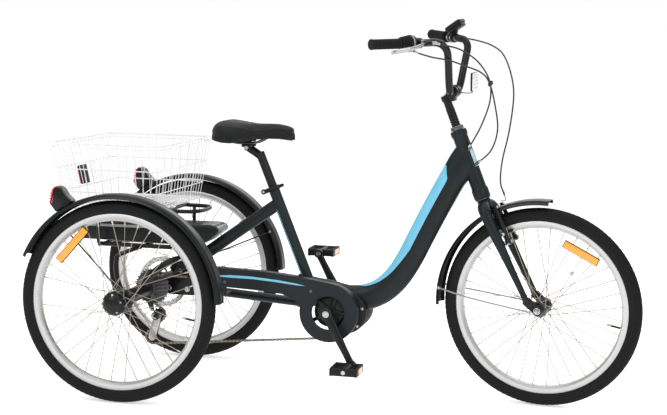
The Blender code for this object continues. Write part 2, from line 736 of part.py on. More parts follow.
def rear_hub(side):
    """A bored hub with two spoke flanges and a domed cap on its outer end."""
    profile = [
        (0.0, 0.060), (0.014, 0.0585), (0.025, 0.053), (0.0315, 0.045), (0.034, 0.034), (0.034, 0.027),
        (0.024, 0.024), (0.024, -0.024), (0.034, -0.027), (0.034, -0.031), (0.020, -0.034), (0.020, -0.046),
        (AXLE_R + GAP, -0.046), (AXLE_R + GAP, 0.042), (0.0, 0.042),
    ]
    shape = turned(profile, 18, loop=False)
    if side < 0:
        shape = moved(shape, Matrix.Rotation(math.pi, 4, "Z"))
    return shape


def front_hub():
    bore = 0.0053
    profile = [
        (bore, -0.046), (0.011, -0.046), (0.011, -0.034), (0.0225, -0.031), (0.0225, -0.028), (0.013, -0.025),
        (0.013, 0.025), (0.0225, 0.028), (0.0225, 0.031), (0.011, 0.034), (0.011, 0.046), (bore, 0.046),
    ]
    return turned(profile, 16)


def wheel(suffix, place, hub, flange_r, flange_y, carrier):
    spoked = moved(joined(hub, spoke_set(flange_r, flange_y)), place @ BOTTOM_FIRST)
    solid("tyre_" + suffix, moved(turned(tyre_profile(), WHEEL_STEPS), place @ BOTTOM_FIRST), RUBBER, carrier)
    solid("rim_" + suffix, moved(turned(rim_profile(), WHEEL_STEPS), place @ BOTTOM_FIRST), RIM_ALLOY, carrier)
    solid("spokes_" + suffix, spoked, STEEL, carrier)


def rear_axle():
    end = TRACK / 2 + 0.041
    solid("rear_axle", rod((0, -end, AXLE_Z), (0, end, AXLE_Z), AXLE_R, 20), STEEL, DRIVE_AXLE)


def brake_disc():
    bore = AXLE_R + GAP
    profile = [
        (bore, DISC_Y - 0.016), (0.022, DISC_Y - 0.016), (0.022, DISC_Y - 0.001), (DISC_R, DISC_Y - 0.001),
        (DISC_R, DISC_Y + 0.001), (bore, DISC_Y + 0.001),
    ]
    shape = moved(turned(profile, 32), at(0, 0, AXLE_Z))
    solid("brake_disc", shape, STEEL, DRIVE_AXLE)


# ---------------------------------------------------------------- drive

def cassette():
    """Seven sprockets on one carrier, the largest inboard; the chain's own sprocket is cut down to clear it."""
    bore = AXLE_R + GAP
    pitch = 2 * CASSETTE_HALF / 7
    profile = [(bore, CASSETTE_Y - CASSETTE_HALF)]
    for i in range(7):
        y = CASSETTE_Y - CASSETTE_HALF + i * pitch
        radius = 0.0250 + 0.0045 * i if i < 4 else CASSETTE_R - 0.0055 * (6 - i)
        if i == 3:
            radius = SPROCKET_R - 0.0050
        profile += [(0.020, y + 0.0009), (radius, y + 0.0012), (radius, y + 0.0032)]
    profile += [(0.020, CASSETTE_Y + CASSETTE_HALF), (bore, CASSETTE_Y + CASSETTE_HALF)]
    solid("cassette", moved(turned(profile, 18), at(0, 0, AXLE_Z)), STEEL, FREEWHEEL)


def chainring():
    root = CHAINRING_R - 0.0050
    y = CHAIN_Y
    profile = [(0.0, y - 0.034), (0.0125, y - 0.034), (0.0125, y - 0.0025), (root, y - 0.0015), (root, y + 0.0015),
               (0.0125, y + 0.0025), (0.0125, 0.100), (0.0, 0.100)]
    shape = moved(turned(profile, 30, loop=False), at(CRANK_X, 0, CRANK_Z))
    windows = []
    for i in range(5):
        a = math.radians(72 * i + 30)
        x, z = CRANK_X + 0.045 * math.cos(a), CRANK_Z + 0.045 * math.sin(a)
        windows.append(rod((x, -0.1, z), (x, -0.03, z), 0.017, 8))
    solid("chainring", cut(shape, *windows), BLACK_PAINT, CRANKS)


def crank_arm(side, name):
    """side -1 is the rider's right. The arm leans outwards from the axle to the pedal."""
    toward = PEDAL_OFFSET if side < 0 else -PEDAL_OFFSET
    centre = Vector((CRANK_X, 0, CRANK_Z))
    inner = centre + Vector((0, side * 0.110, 0))
    outer = centre + toward + Vector((0, side * 0.128, 0))
    arm = swept([inner, inner.lerp(outer, 0.15), inner.lerp(outer, 0.85), outer],
                [(0.008, 0.0155), (0.0075, 0.0150), (0.006, 0.0110), (0.006, 0.0115)], 12, (0, 1, 0))
    boss = rod(inner + Vector((0, side * -0.0095, 0)), inner + Vector((0, side * 0.0095, 0)), 0.019, 20)
    eye = rod(outer + Vector((0, side * -0.0075, 0)), outer + Vector((0, side * 0.0075, 0)), 0.0135, 16)
    socket_end = side * (0.0003 + 0.100)
    socket = rod((CRANK_X, side * 0.09, CRANK_Z), (CRANK_X, socket_end, CRANK_Z), 0.013, 16)
    solid(name, cut(joined(arm, boss, eye), socket), BLACK_PAINT, CRANKS)


def pedal(side, name, carrier):
    """A two-sided platform on a spindle stub, level at rest."""
    toward = PEDAL_OFFSET if side < 0 else -PEDAL_OFFSET
    x, z = CRANK_X + toward.x, CRANK_Z + toward.z
    near, far = 0.148, 0.244
    low_y, high_y = sorted((side * near, side * far))
    body = block((x - 0.042, low_y, z - 0.0125), (x + 0.042, high_y, z + 0.0125), 0.005)
    stub = rod((x, side * (0.1355 + GAP), z), (x, side * (near + 0.01), z), 0.0075, 12)
    pockets = []
    for ahead in (-1, 1):
        low_x, high_x = sorted((x + ahead * 0.012, x + ahead * 0.033))
        pockets.append(block((low_x, low_y + 0.014, z - 0.05), (high_x, high_y - 0.014, z + 0.05)))
    solid(name, cut(joined(body, stub), *pockets), BLACK_PLASTIC, carrier)


def belt_points(circles):
    """Points of a closed belt round circles of (x, z, radius, hand), hand 1 where it turns clockwise."""
    legs = []
    count = len(circles)
    for (x0, z0, r0, h0), (x1, z1, r1, h1) in zip(circles, circles[1:] + circles[:1]):
        span = math.hypot(x1 - x0, z1 - z0)
        bearing = math.atan2(z1 - z0, x1 - x0)
        lift = math.asin((h0 * r0 - h1 * r1) / span)
        normal = bearing + math.pi / 2 - lift
        legs.append((normal, (x0 + h0 * r0 * math.cos(normal), z0 + h0 * r0 * math.sin(normal)),
                     (x1 + h1 * r1 * math.cos(normal), z1 + h1 * r1 * math.sin(normal))))
    points = []
    for i in range(count):
        x, z, radius, hand = circles[i]
        into, out = legs[i - 1][0], legs[i][0]
        sweep = (out - into) % (2 * math.pi)
        if hand > 0:
            sweep -= 2 * math.pi
        steps = max(3, int(abs(sweep) / math.radians(15)))
        for k in range(steps + 1):
            a = into + sweep * k / steps
            points.append((x + hand * radius * math.cos(a), z + hand * radius * math.sin(a)))
    return points


def chain_circles():
    return [
        (0.0, AXLE_Z, SPROCKET_R, 1), (CRANK_X, CRANK_Z, CHAINRING_R, 1),
        (*TENSION_PULLEY, PULLEY_R, 1), (*GUIDE_PULLEY, PULLEY_R, -1),
    ]


def chain():
    """A closed band on the pitch line of the sprockets."""
    path = belt_points(chain_circles())
    count = len(path)
    rings = []
    for i in range(count):
        (xa, za), (x, z), (xb, zb) = path[i - 1], path[i], path[(i + 1) % count]
        tangent = Vector((xb - xa, 0, zb - za)).normalized()
        normal = Vector((-tangent.z, 0, tangent.x)) * 0.0038
        centre = Vector((x, CHAIN_Y, z))
        across = Vector((0, CHAIN_HALF, 0))
        rings.append([centre + normal + across, centre + normal - across, centre - normal - across,
                      centre - normal + across])
    solid("chain", loft(rings, ends_joined=True), CHAIN_STEEL, ROOT)


def pulley(name, place, carrier):
    radius = PULLEY_R - 0.0045
    bore = 0.0028
    shape = turned([(bore, -0.004), (0.008, -0.004), (radius, -0.0015), (radius, 0.0015), (0.008, 0.004),
                    (bore, 0.004)], 12)
    solid(name, moved(shape, at(place[0], CHAIN_Y, place[1])), BLACK_PLASTIC, carrier)


def derailleur_cage():
    """Two side plates joined by the pulleys' bolts."""
    gx, gz = GUIDE_PULLEY
    tx, tz = TENSION_PULLEY
    bearing = math.degrees(math.atan2(tz - gz, tx - gx))
    outline = arc(gx, gz, 0.012, bearing + 90, bearing + 270, 7) + arc(tx, tz, 0.012, bearing - 90, bearing + 90, 7)
    outer = prism(outline, CHAIN_Y - 0.0085, CHAIN_Y - 0.0065)
    inner = prism(outline, CHAIN_Y + 0.0065, CHAIN_Y + 0.0085)
    bolts = [rod((x, CHAIN_Y - 0.0095, z), (x, CHAIN_Y + 0.0095, z), 0.0025, 10) for x, z in (GUIDE_PULLEY, TENSION_PULLEY)]
    solid("derailleur_cage", joined(outer, inner, *bolts), BLACK_PAINT, CAGE)


def derailleur_body():
    """The linkage block that carries the cage in and out under the cassette."""
    gx, gz = GUIDE_PULLEY
    knuckle = rod((gx, CHAIN_Y - 0.036, gz), (gx, CHAIN_Y - 0.0098, gz), 0.012, 16)
    link = swept([(gx, CHAIN_Y - 0.030, gz), (gx + 0.018, CHAIN_Y - 0.036, gz + 0.006),
                  (gx + 0.022, CHAIN_Y - 0.0445, gz + 0.016)],
                 [(0.008, 0.011), (0.008, 0.010), (0.005, 0.008)], 10, (0, 0, 1))
    solid("derailleur_body", joined(knuckle, link), BLACK_PAINT, DERAILLEUR)


# ---------------------------------------------------------------- seat

SADDLE_STATIONS = [
    # x, half width, crown height, skirt depth
    (0.183, 0.045, 0.800, 0.020), (0.188, 0.068, 0.812, 0.036), (0.205, 0.092, 0.820, 0.050),
    (0.230, 0.103, 0.822, 0.058), (0.258, 0.100, 0.819, 0.056), (0.288, 0.080, 0.815, 0.044),
    (0.320, 0.055, 0.812, 0.034), (0.355, 0.038, 0.812, 0.030), (0.392, 0.031, 0.812, 0.030),
    (0.420, 0.027, 0.809, 0.030), (0.433, 0.020, 0.804, 0.026), (0.439, 0.010, 0.797, 0.018),
]


def saddle():
    """A crowned shell with a skirt; its underside is hollow for the rails."""
    rings = []
    last = len(SADDLE_STATIONS) - 1
    for i, (x, half, crown, skirt) in enumerate(SADDLE_STATIONS):
        outer = []
        for k in range(-5, 6):
            share = k / 5
            across = math.sin(share * math.pi / 2)
            fall = skirt * (1 - math.cos(share * math.pi / 2)) ** 1.25
            outer.append(Vector((x, half * across, crown - fall)))
        wall = 0.010 if i not in (0, last) else 0.006
        under = []
        for k in range(4, -5, -1):
            share = k / 5
            across = math.sin(share * math.pi / 2)
            fall = (skirt + wall * 0.3) * (1 - math.cos(share * math.pi / 2)) ** 1.25
            under.append(Vector((x, (half - wall * 0.6) * across, crown - wall * 1.6 - fall * 0.80)))
        rings.append(outer + under)
    solid("saddle", loft(rings), SADDLE_SKIN, SEAT)


RAIL_Z_MIDDLE = 0.7515


def saddle_rails():
    half = [(0.214, 0.036, 0.778), (0.232, 0.034, 0.760), (0.262, 0.024, RAIL_Z_MIDDLE),
            (0.312, 0.022, RAIL_Z_MIDDLE + 0.001), (0.345, 0.018, 0.768), (0.372, 0.010, 0.787)]
    right = [(x, -y, z) for x, y, z in half]
    path = [*right, (0.381, 0.0, 0.791), *reversed(half)]
    solid("saddle_rails", wire(path, 0.0035, 2, 6, (0, 0, 1)), BLACK_PAINT, SEAT)


POST_TOP = 0.196
POST_LENGTH = 0.295


def seat_post():
    post = seat_tube_rod(SEAT_POST_R, POST_TOP - POST_LENGTH, POST_TOP)
    neck = swept([on_seat(POST_TOP - 0.014), on_seat(POST_TOP + 0.004, -0.012), (0.293, 0, 0.7345)],
                 [(0.0125, 0.0125), (0.013, 0.012), (0.014, 0.012)], 12)
    yoke = rod((0.289, -0.017, 0.7375), (0.289, 0.017, 0.7375), 0.0102, 16)
    solid("seat_post", joined(post, neck, yoke), BLACK_PAINT, SEAT)


def seat_lever():
    """A cam lever lying alongside the collar, its pin along Y through the collar's ear."""
    pin_centre = REST[SEAT_RELEASE].to_translation()
    x, _, z = pin_centre
    pin = rod((x, -0.018, z), (x, -0.0118, z), 0.0060, 12)
    blade = swept([(x, -0.0225, z), (x + 0.022, -0.0250, z + 0.010), (x + 0.052, -0.0245, z + 0.021),
                   (x + 0.064, -0.0225, z + 0.026)],
                  [(0.004, 0.006), (0.0032, 0.0045), (0.0028, 0.0050), (0.0022, 0.0035)], 10)
    knob = rod((x, -0.0265, z), (x, -0.0170, z), 0.0082, 12)
    solid("seat_lever", joined(knob, pin, blade), BLACK_PAINT, SEAT_RELEASE)


# ---------------------------------------------------------------- steering

def fork():
    steerer = rod(head(0, 0, 0.335), head(0, 0, STEERER_TOP), STEERER_R, 20)
    tilt = HEAD_MATRIX.to_3x3() @ Vector((1, 0, 0))
    shapes = [steerer]
    for side in (-1, 1):
        blade = spline([head(0, 0, 0.3425), head(0.001, side * 0.020, 0.3405), head(0.004, side * 0.039, 0.331),
                        head(0.0085, side * 0.0495, 0.306), head(0.018, side * 0.0525, 0.205),
                        head(0.0338, side * 0.0525, 0.0340)], 2)
        sizes = sizes_between([(0, 0.0160, 0.0160), (0.4, 0.0178, 0.0178), (0.62, 0.0172, 0.0165),
                               (1.0, 0.0090, 0.0090)], len(blade))
        shapes.append(swept(blade, sizes, 12, tilt))
        axle = head(RAKE, 0, 0)
        foot = head(0.0338, 0, 0.040)
        plate = [(foot.x - 0.009, foot.z + 0.004), (foot.x - 0.010, foot.z - 0.012),
                 *arc(axle.x, axle.z, 0.0145, 210, 390, 6), (axle.x - 0.002, axle.z + 0.017),
                 (foot.x + 0.010, foot.z + 0.008)]
        low_y, high_y = sorted((side * 0.0495, side * 0.0555))
        shapes.append(prism(plate, low_y, high_y))
        boss_low = head(0.016, side * 0.046, ARM_PIVOT[2])
        boss_high = head(ARM_PIVOT[0] - 0.0112, side * 0.040, ARM_PIVOT[2])
        shapes.append(rod(boss_low, boss_high, 0.007, 10))
    hole = moved(rod((0, -0.1, 0), (0, 0.1, 0), 0.0056, 16), Matrix.Translation(head(RAKE, 0, 0)))
    solid("fork", cut(joined(*shapes), hole), FRAME_PAINT, STEERING)


def front_axle():
    """A spindle with a nut outside each dropout."""
    half = [(0.0049, 0.0), (0.0049, 0.0562), (0.0095, 0.0562), (0.0095, 0.0600), (0.0080, 0.0605),
            (0.0080, 0.0690), (0.0049, 0.0700), (0.0049, 0.0745), (0.0, 0.0745)]
    other = [(r, -y) for r, y in reversed(half)]
    profile = [*other[:-1], *half[1:]]
    solid("front_axle", moved(turned(profile, 12, loop=False), Matrix.Translation(head(RAKE, 0, 0))), STEEL, STEERING)


def stem():
    quill = rod(head(0, 0, STEERER_TOP + GAP), head(0, 0, STEM_TOP), 0.0122, 16)
    cap = rod(head(0, 0, STEM_TOP - 0.014), head(0, 0, STEM_TOP + 0.002), 0.0150, 16)
    reach = swept([head(0.004, 0, STEM_TOP - 0.008), CLAMP - Vector((0.006, 0, 0.004))],
                  [(0.013, 0.011), (0.015, 0.012)], 12)
    shell = rod(CLAMP + Vector((0, -0.021, 0)), CLAMP + Vector((0, 0.021, 0)), 0.0182, 20)
    bolt = rod(CLAMP + Vector((-0.004, 0, -0.027)), CLAMP + Vector((0, 0, -0.010)), 0.0050, 10)
    bore = rod(CLAMP + Vector((0, -0.05, 0)), CLAMP + Vector((0, 0.05, 0)), BAR_R + 0.0004, 20)
    solid("stem", cut(joined(quill, cap, reach, shell, bolt), bore), BLACK_PAINT, STEERING)


def bar_half(side):
    """The rise and backsweep of one side, from the clamp outwards."""
    rise = [(0.0, 0.022, 0.0), (0.0, 0.034, 0.001), (0.002, 0.048, 0.008), (0.004, 0.061, 0.030), (0.006, 0.072, 0.058),
            (0.009, 0.088, 0.096), (0.009, 0.103, 0.126), (-0.003, 0.114, 0.144)]
    points = [on_bar(x, side * y, z) for x, y, z in rise]
    points += [grip_point(side, share) for share in (0.214, 0.192, 0.166, 0.002)]
    return points


def handlebar():
    left = bar_half(1)
    right = bar_half(-1)
    path = spline([*reversed(right), on_bar(0, 0, 0), *left], 2)
    bar = swept(path, (BAR_R, BAR_R), 8, (0, 0, 1))
    perches = []
    for side in (-1, 1):
        start = grip_point(side, LEVER_FROM_END + 0.010)
        end = grip_point(side, LEVER_FROM_END - 0.007)
        perches.append(rod(start, end, 0.0150, 10))
    solid("handlebar", joined(bar, *perches), BLACK_PAINT, STEERING)


def sleeve(side, profile, sides=14):
    """A turned sleeve round the bar; the profile's y runs inwards from the bar's end."""
    end = grip_point(side, 0)
    inward = grip_point(side, 1) - end
    return moved(turned(profile, sides), along(end, inward))


def grips():
    bore = BAR_R + 0.0004
    left = [(bore, 0.002), (GRIP_R - 0.003, -0.001), (GRIP_R, 0.002), (GRIP_R - 0.0012, 0.030),
            (GRIP_R - 0.0008, 0.100), (GRIP_R + 0.003, 0.126), (GRIP_R + 0.003, 0.130), (bore, 0.130)]
    right = [(bore, 0.002), (GRIP_R - 0.003, -0.001), (GRIP_R, 0.002), (GRIP_R - 0.0012, 0.030),
             (GRIP_R - 0.0008, 0.095), (bore, 0.0975)]
    solid("grip_left", sleeve(1, left), GRIP_RUBBER, STEERING)
    solid("grip_right", sleeve(-1, right), GRIP_RUBBER, STEERING)


def twist_shifter():
    bore = BAR_R + 0.0004
    profile = [(bore, 0.0983), (0.0175, 0.0983), (0.0195, 0.104), (0.0220, 0.118), (0.0245, 0.126),
               (0.0245, 0.138), (0.0200, 0.1445), (bore, 0.1445)]
    solid("twist_shifter", sleeve(-1, profile, 20), BLACK_PLASTIC, SHIFTER)


def brake_lever(side, name, carrier):
    """A lever from its perch's pivot, reaching out in front of the grip."""
    pivot_point = grip_point(side, LEVER_FROM_END, LEVER_AHEAD)
    up = Vector((0, 0, 1))
    hub = rod(pivot_point - 0.006 * up, pivot_point + 0.006 * up, 0.0045, 12)
    path = spline([grip_point(side, LEVER_FROM_END + 0.004, LEVER_AHEAD + 0.002),
                   grip_point(side, LEVER_FROM_END - 0.016, LEVER_AHEAD + 0.017, -0.002),
                   grip_point(side, LEVER_FROM_END - 0.050, LEVER_AHEAD + 0.027, -0.004),
                   grip_point(side, LEVER_FROM_END - 0.100, LEVER_AHEAD + 0.024, -0.005),
                   grip_point(side, LEVER_FROM_END - 0.118, LEVER_AHEAD + 0.030, -0.005)], 3)
    blade = swept(path, (0.0055, 0.0040), 8, (0, 0, 1))
    solid(name, joined(hub, blade), STEEL, carrier)


def display():
    """A small bar-mounted head unit, tilted back towards the rider, on a clamp round the bar."""
    centre = grip_point(1, 0.180)
    middle = centre + Vector((0.002, 0, 0.038))
    facing = Matrix.Translation(middle) @ Matrix.Rotation(math.radians(-35), 4, "Y")
    unit = moved(block((-0.028, -0.028, -0.008), (0.028, 0.028, 0.008), 0.004), facing)
    foot = moved(block((-0.009, -0.009, -0.030), (0.009, 0.009, 0.0)), Matrix.Translation(middle))
    start, end = grip_point(1, 0.172), grip_point(1, 0.188)
    band = rod(start, end, 0.0145, 14)
    reach = (end - start).normalized() * 0.03
    bore = rod(start - reach, end + reach, BAR_R + 0.0008, 14)
    solid("display", cut(joined(unit, foot, band), bore), BLACK_PLASTIC, STEERING)


def front_reflector():
    """A reflector plate ahead of the stem on a flat bracket."""
    x = CLAMP.x + 0.062
    plate = block((x - 0.004, -0.027, CLAMP.z + 0.004), (x + 0.005, 0.027, CLAMP.z + 0.058), 0.003)
    strap = swept([(CLAMP.x + 0.0188, 0, CLAMP.z - 0.003), (x - 0.012, 0, CLAMP.z - 0.003),
                   (x - 0.004, 0, CLAMP.z + 0.004), (x - 0.002, 0, CLAMP.z + 0.030)], (0.007, 0.0018), 8)
    solid("front_reflector", joined(plate, strap), CLEAR_LENS, STEERING)


def brake_arm(side, name, carrier):
    """A long-arm rim brake lever with its pad, pivoting on the fork's boss."""
    x, y, z = ARM_PIVOT
    boss = rod(head(x - 0.0085, side * y, z), head(x + 0.011, side * y, z), 0.0085, 14)
    arm = swept([head(x, side * y, z), head(x + 0.001, side * (y + 0.004), z + 0.045),
                 head(x - 0.001, side * (y + 0.001), z + 0.090), head(x - 0.003, side * (y - 0.004), z + 0.112)],
                [(0.0065, 0.0060), (0.0070, 0.0045), (0.0060, 0.0040), (0.0055, 0.0040)], 10, (1, 0, 0))
    stud = rod(head(x - 0.006, side * 0.0195, z + 0.026), head(x - 0.006, side * (y + 0.004), z + 0.026), 0.0040, 10)
    pad_low, pad_high = sorted((side * 0.0170, side * 0.0235))
    pad = moved(block((-0.026, pad_low, -0.0045), (0.026, pad_high, 0.0045), 0.0015),
                HEAD_MATRIX @ at(x - 0.006, 0, z + 0.0255) @ Matrix.Rotation(math.radians(-6), 4, "Y"))
    solid(name, joined(arm, boss, stud, pad), BLACK_PAINT, carrier)


# Cable routes, in the straight-ahead steering position
FRONT_BRAKE_ROUTE = [
    (0.950, 0.155, 1.075), (0.990, 0.150, 1.080), (1.040, 0.110, 1.062), (1.082, 0.050, 1.005),
    (1.098, 0.012, 0.920), (1.092, -0.006, 0.820), (1.074, -0.010, 0.730), (1.066, 0.004, 0.664),
    (1.072, 0.030, 0.622),
]
LOOM_ROUTES = [
    [(0.935, -0.148, 1.066), (0.975, -0.120, 1.058), (1.010, -0.060, 1.020), (1.030, -0.012, 0.965),
     (1.032, -0.006, 0.905), (1.010, -0.010, 0.835), (0.984, -0.016, 0.782), (0.9732, -0.021, 0.765)],
    [(0.936, -0.106, 1.030), (0.975, -0.082, 1.010), (1.012, -0.036, 0.988), (1.030, -0.008, 0.955),
     (1.046, -0.002, 0.892), (1.056, -0.004, 0.820), (1.040, -0.010, 0.760), (1.0045, -0.016, 0.722)],
]


def cables():
    radius = 0.0024
    solid("front_brake_cable", wire(FRONT_BRAKE_ROUTE, radius, 2, 6), BLACK_CABLE, STEERING)
    gear, motor = [wire(route, radius, 2, 6) for route in LOOM_ROUTES]
    tie = rod((1.031, -0.012, 0.946), (1.035, -0.004, 0.962), 0.0058, 10)
    solid("cable_loom", joined(gear, motor, tie), BLACK_CABLE, STEERING)


# ---------------------------------------------------------------- the whole tricycle

def build():
    head_tube()
    down_tube()
    seat_tube()
    rear_stay()
    chain_stay()
    motor_housing()
    chain_guard()
    axle_carrier()
    brake_caliper()
    seat_collar()
    carrier_frame()
    basket()
    basket_reflector()
    battery_pack()
    rear_fender(-1, "fender_right")
    rear_fender(1, "fender_left")
    tail_light(-1, "tail_light_right")
    tail_light(1, "tail_light_left")
    rear_axle()
    brake_disc()
    wheel("right", at(0, -TRACK / 2, AXLE_Z), rear_hub(-1), 0.034, 0.029, DRIVE_AXLE)
    wheel("left", at(0, TRACK / 2, AXLE_Z), rear_hub(1), 0.034, 0.029, LEFT_WHEEL)
    cassette()
    chainring()
    crank_arm(-1, "crank_right")
    crank_arm(1, "crank_left")
    pedal(-1, "pedal_right", PEDAL_RIGHT)
    pedal(1, "pedal_left", PEDAL_LEFT)
    chain()
    derailleur_body()
    derailleur_cage()
    pulley("guide_pulley", GUIDE_PULLEY, GUIDE)
    pulley("tension_pulley", TENSION_PULLEY, TENSION)
    seat_post()
    saddle_rails()
    saddle()
    seat_lever()
    fork()
    front_axle()
    front_fender()
    stem()
    handlebar()
    grips()
    display()
    front_reflector()
    twist_shifter()
    brake_lever(-1, "brake_lever_right", LEVER_RIGHT)
    brake_lever(1, "brake_lever_left", LEVER_LEFT)
    brake_arm(-1, "brake_arm_right", ARM_RIGHT)
    brake_arm(1, "brake_arm_left", ARM_LEFT)
    wheel("front", Matrix.Translation(head(RAKE, 0, 0)), front_hub(), 0.0225, 0.0295, FRONT_WHEEL)
    cables()
    STEERING.matrix_basis = STEERING.matrix_basis @ Matrix.Rotation(STEER_REST, 4, "Z")
    ROOT.location.x = -CENTRE_X


build()
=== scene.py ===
"""Looks of the adult tricycle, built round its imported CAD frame.

Shapes are authored as in the CAD source: metres from the ground point under the rear axle, +X forward,
+Y to the rider's left, +Z up, steering straight ahead. FIXED and STEERED then carry them to where the CAD
bodies stand, the steered ones turned as they are at rest.
"""

import json
import math
import random

import bmesh
import bpy
from mathutils import Matrix, Vector
from mathutils.bvhtree import BVHTree

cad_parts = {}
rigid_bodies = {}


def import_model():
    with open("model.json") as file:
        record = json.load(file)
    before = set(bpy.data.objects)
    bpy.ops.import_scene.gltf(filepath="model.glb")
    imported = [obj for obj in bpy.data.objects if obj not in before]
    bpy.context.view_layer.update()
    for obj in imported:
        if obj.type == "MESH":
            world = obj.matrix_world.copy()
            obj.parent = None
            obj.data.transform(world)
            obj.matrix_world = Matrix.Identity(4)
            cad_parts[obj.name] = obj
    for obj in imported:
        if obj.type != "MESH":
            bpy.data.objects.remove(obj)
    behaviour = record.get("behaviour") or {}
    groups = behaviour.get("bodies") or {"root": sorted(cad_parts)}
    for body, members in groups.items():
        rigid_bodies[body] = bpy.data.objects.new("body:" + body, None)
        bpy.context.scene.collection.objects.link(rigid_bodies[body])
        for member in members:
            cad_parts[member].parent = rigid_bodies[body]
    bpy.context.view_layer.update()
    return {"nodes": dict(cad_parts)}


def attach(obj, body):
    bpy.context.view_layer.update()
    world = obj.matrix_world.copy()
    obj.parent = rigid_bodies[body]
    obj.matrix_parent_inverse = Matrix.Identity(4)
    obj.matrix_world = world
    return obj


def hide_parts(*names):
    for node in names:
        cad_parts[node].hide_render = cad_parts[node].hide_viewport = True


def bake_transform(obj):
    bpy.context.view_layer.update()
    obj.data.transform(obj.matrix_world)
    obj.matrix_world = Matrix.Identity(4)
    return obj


for leftover in list(bpy.data.objects):
    bpy.data.objects.remove(leftover, do_unlink=True)

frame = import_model()
random.seed(7)

# ------------------------------------------------------------------ sizes shared with the CAD source
WHEELBASE = 1.2006
TRACK = 0.69
CENTRE_X = 0.5988
AXLE_Z = 0.298
TYRE_R = 0.298
TYRE_HALF = 0.022
RIM_R = 0.259
BEAD_HALF = 0.0118
RIM_INNER_R = 0.2385
RIM_HALF = 0.0145
AXLE_R = 0.01
HUB_BORE_R = 0.0103
HOUSING_OUT_Y = 0.297
HOUSING_IN_RIGHT = 0.115
HOUSING_IN_LEFT = 0.078
DISC_R = 0.08
DISC_Y = 0.05
CASSETTE_Y = -0.066
CASSETTE_HALF = 0.017
SPROCKET_R = 0.0384
HEAD_TILT = math.radians(22.0)
RAKE = 0.055
STEER_REST = math.radians(-9.2)
HEAD_BOTTOM = 0.392
HEAD_TOP = 0.56
HEAD_R = 0.0225
STEERER_TOP = 0.5795
STEM_TOP = 0.684
BAR_R = 0.011
CLAMP = Vector((0.919, 0.0, 0.927))
GRIP_HEIGHT = 0.1495
GRIP_END = (-0.161, 0.278)
GRIP_SWEEP = math.radians(50.0)
GRIP_R = 0.0155
CRANK_X = 0.57
CRANK_Z = 0.256
CRANK_LENGTH = 0.168
CRANK_ANGLE = math.radians(-60.0)
CHAINRING_R = 0.0809
PULLEY_R = 0.0222
PULLEY_TEETH = 11
CHAINRING_TEETH = 40
CASSETTE_TEETH = 19
CASSETTE_COUNT = 7
GUIDE_PULLEY = (0.026, 0.214)
TENSION_PULLEY = (0.008, 0.143)
CHAIN_Y = -0.066
CHAIN_PITCH = 0.0127
CHAIN_SPLIT_X = 0.13
MOTOR_X = 0.612
MOTOR_Z = 0.252
MOTOR_R = 0.066
SEAT_TILT = math.radians(22.7)
SEAT_POINT = (0.4007, 0.5431)
SEAT_TUBE_R = 0.0168
SEAT_TUBE_TOP = 0.07
SEAT_TUBE_LOW = -0.228
SEAT_POST_R = 0.0136
POST_TOP = 0.196
FENDER_R = 0.318
FRONT_FENDER_R = 0.3235
FENDER_HALF = 0.03
BASKET_TOP_Z = 0.752
BASKET_BOTTOM_Z = 0.549
RACK_Z = 0.5405
RAIL_Z = 0.424
LEG_Y = 0.285
LEVER_FROM_END = 0.158
LEVER_AHEAD = 0.02
ARM_PIVOT = (0.04, 0.036, 0.218)

HEAD_MATRIX = Matrix.Translation((WHEELBASE - RAKE * math.cos(HEAD_TILT), 0, AXLE_Z - RAKE * math.sin(HEAD_TILT)))
HEAD_MATRIX = HEAD_MATRIX @ Matrix.Rotation(-HEAD_TILT, 4, "Y")
FIXED = Matrix.Translation((-CENTRE_X, 0, 0))
STEERED = FIXED @ HEAD_MATRIX @ Matrix.Rotation(STEER_REST, 4, "Z") @ HEAD_MATRIX.inverted()
UP = Vector((0, 0, 1))


def at(x, y, z):
    return Matrix.Translation((x, y, z))


def polar(radius, angle, y=0.0, x=0.0, z=0.0):
    """A point at a radius and an angle round a crosswise line through (x, z)."""
    return Vector((x + radius * math.cos(angle), y, z + radius * math.sin(angle)))


def head(x, y, z):
    """A point in the steering axis's own frame: x ahead of the axis, z up along it from the axle."""
    return HEAD_MATRIX @ Vector((x, y, z))


def on_bar(x, y, z):
    """A point measured from the middle of the handlebar clamp."""
    return CLAMP + Vector((x, y, z))


def on_seat(distance, ahead=0.0, y=0.0):
    """A point a distance up the seat tube's line, and ahead of it."""
    x = SEAT_POINT[0] - distance * math.sin(SEAT_TILT) + ahead * math.cos(SEAT_TILT)
    z = SEAT_POINT[1] + distance * math.cos(SEAT_TILT) + ahead * math.sin(SEAT_TILT)
    return Vector((x, y, z))


def grip_point(side, from_end, ahead=0.0, z=0.0):
    """A point on a grip's line, from its outer end inwards; side is 1 on the rider's left."""
    x = GRIP_END[0] + from_end * math.cos(GRIP_SWEEP) + ahead * math.sin(GRIP_SWEEP)
    y = GRIP_END[1] - from_end * math.sin(GRIP_SWEEP) + ahead * math.cos(GRIP_SWEEP)
    return on_bar(x, side * y, GRIP_HEIGHT + z)


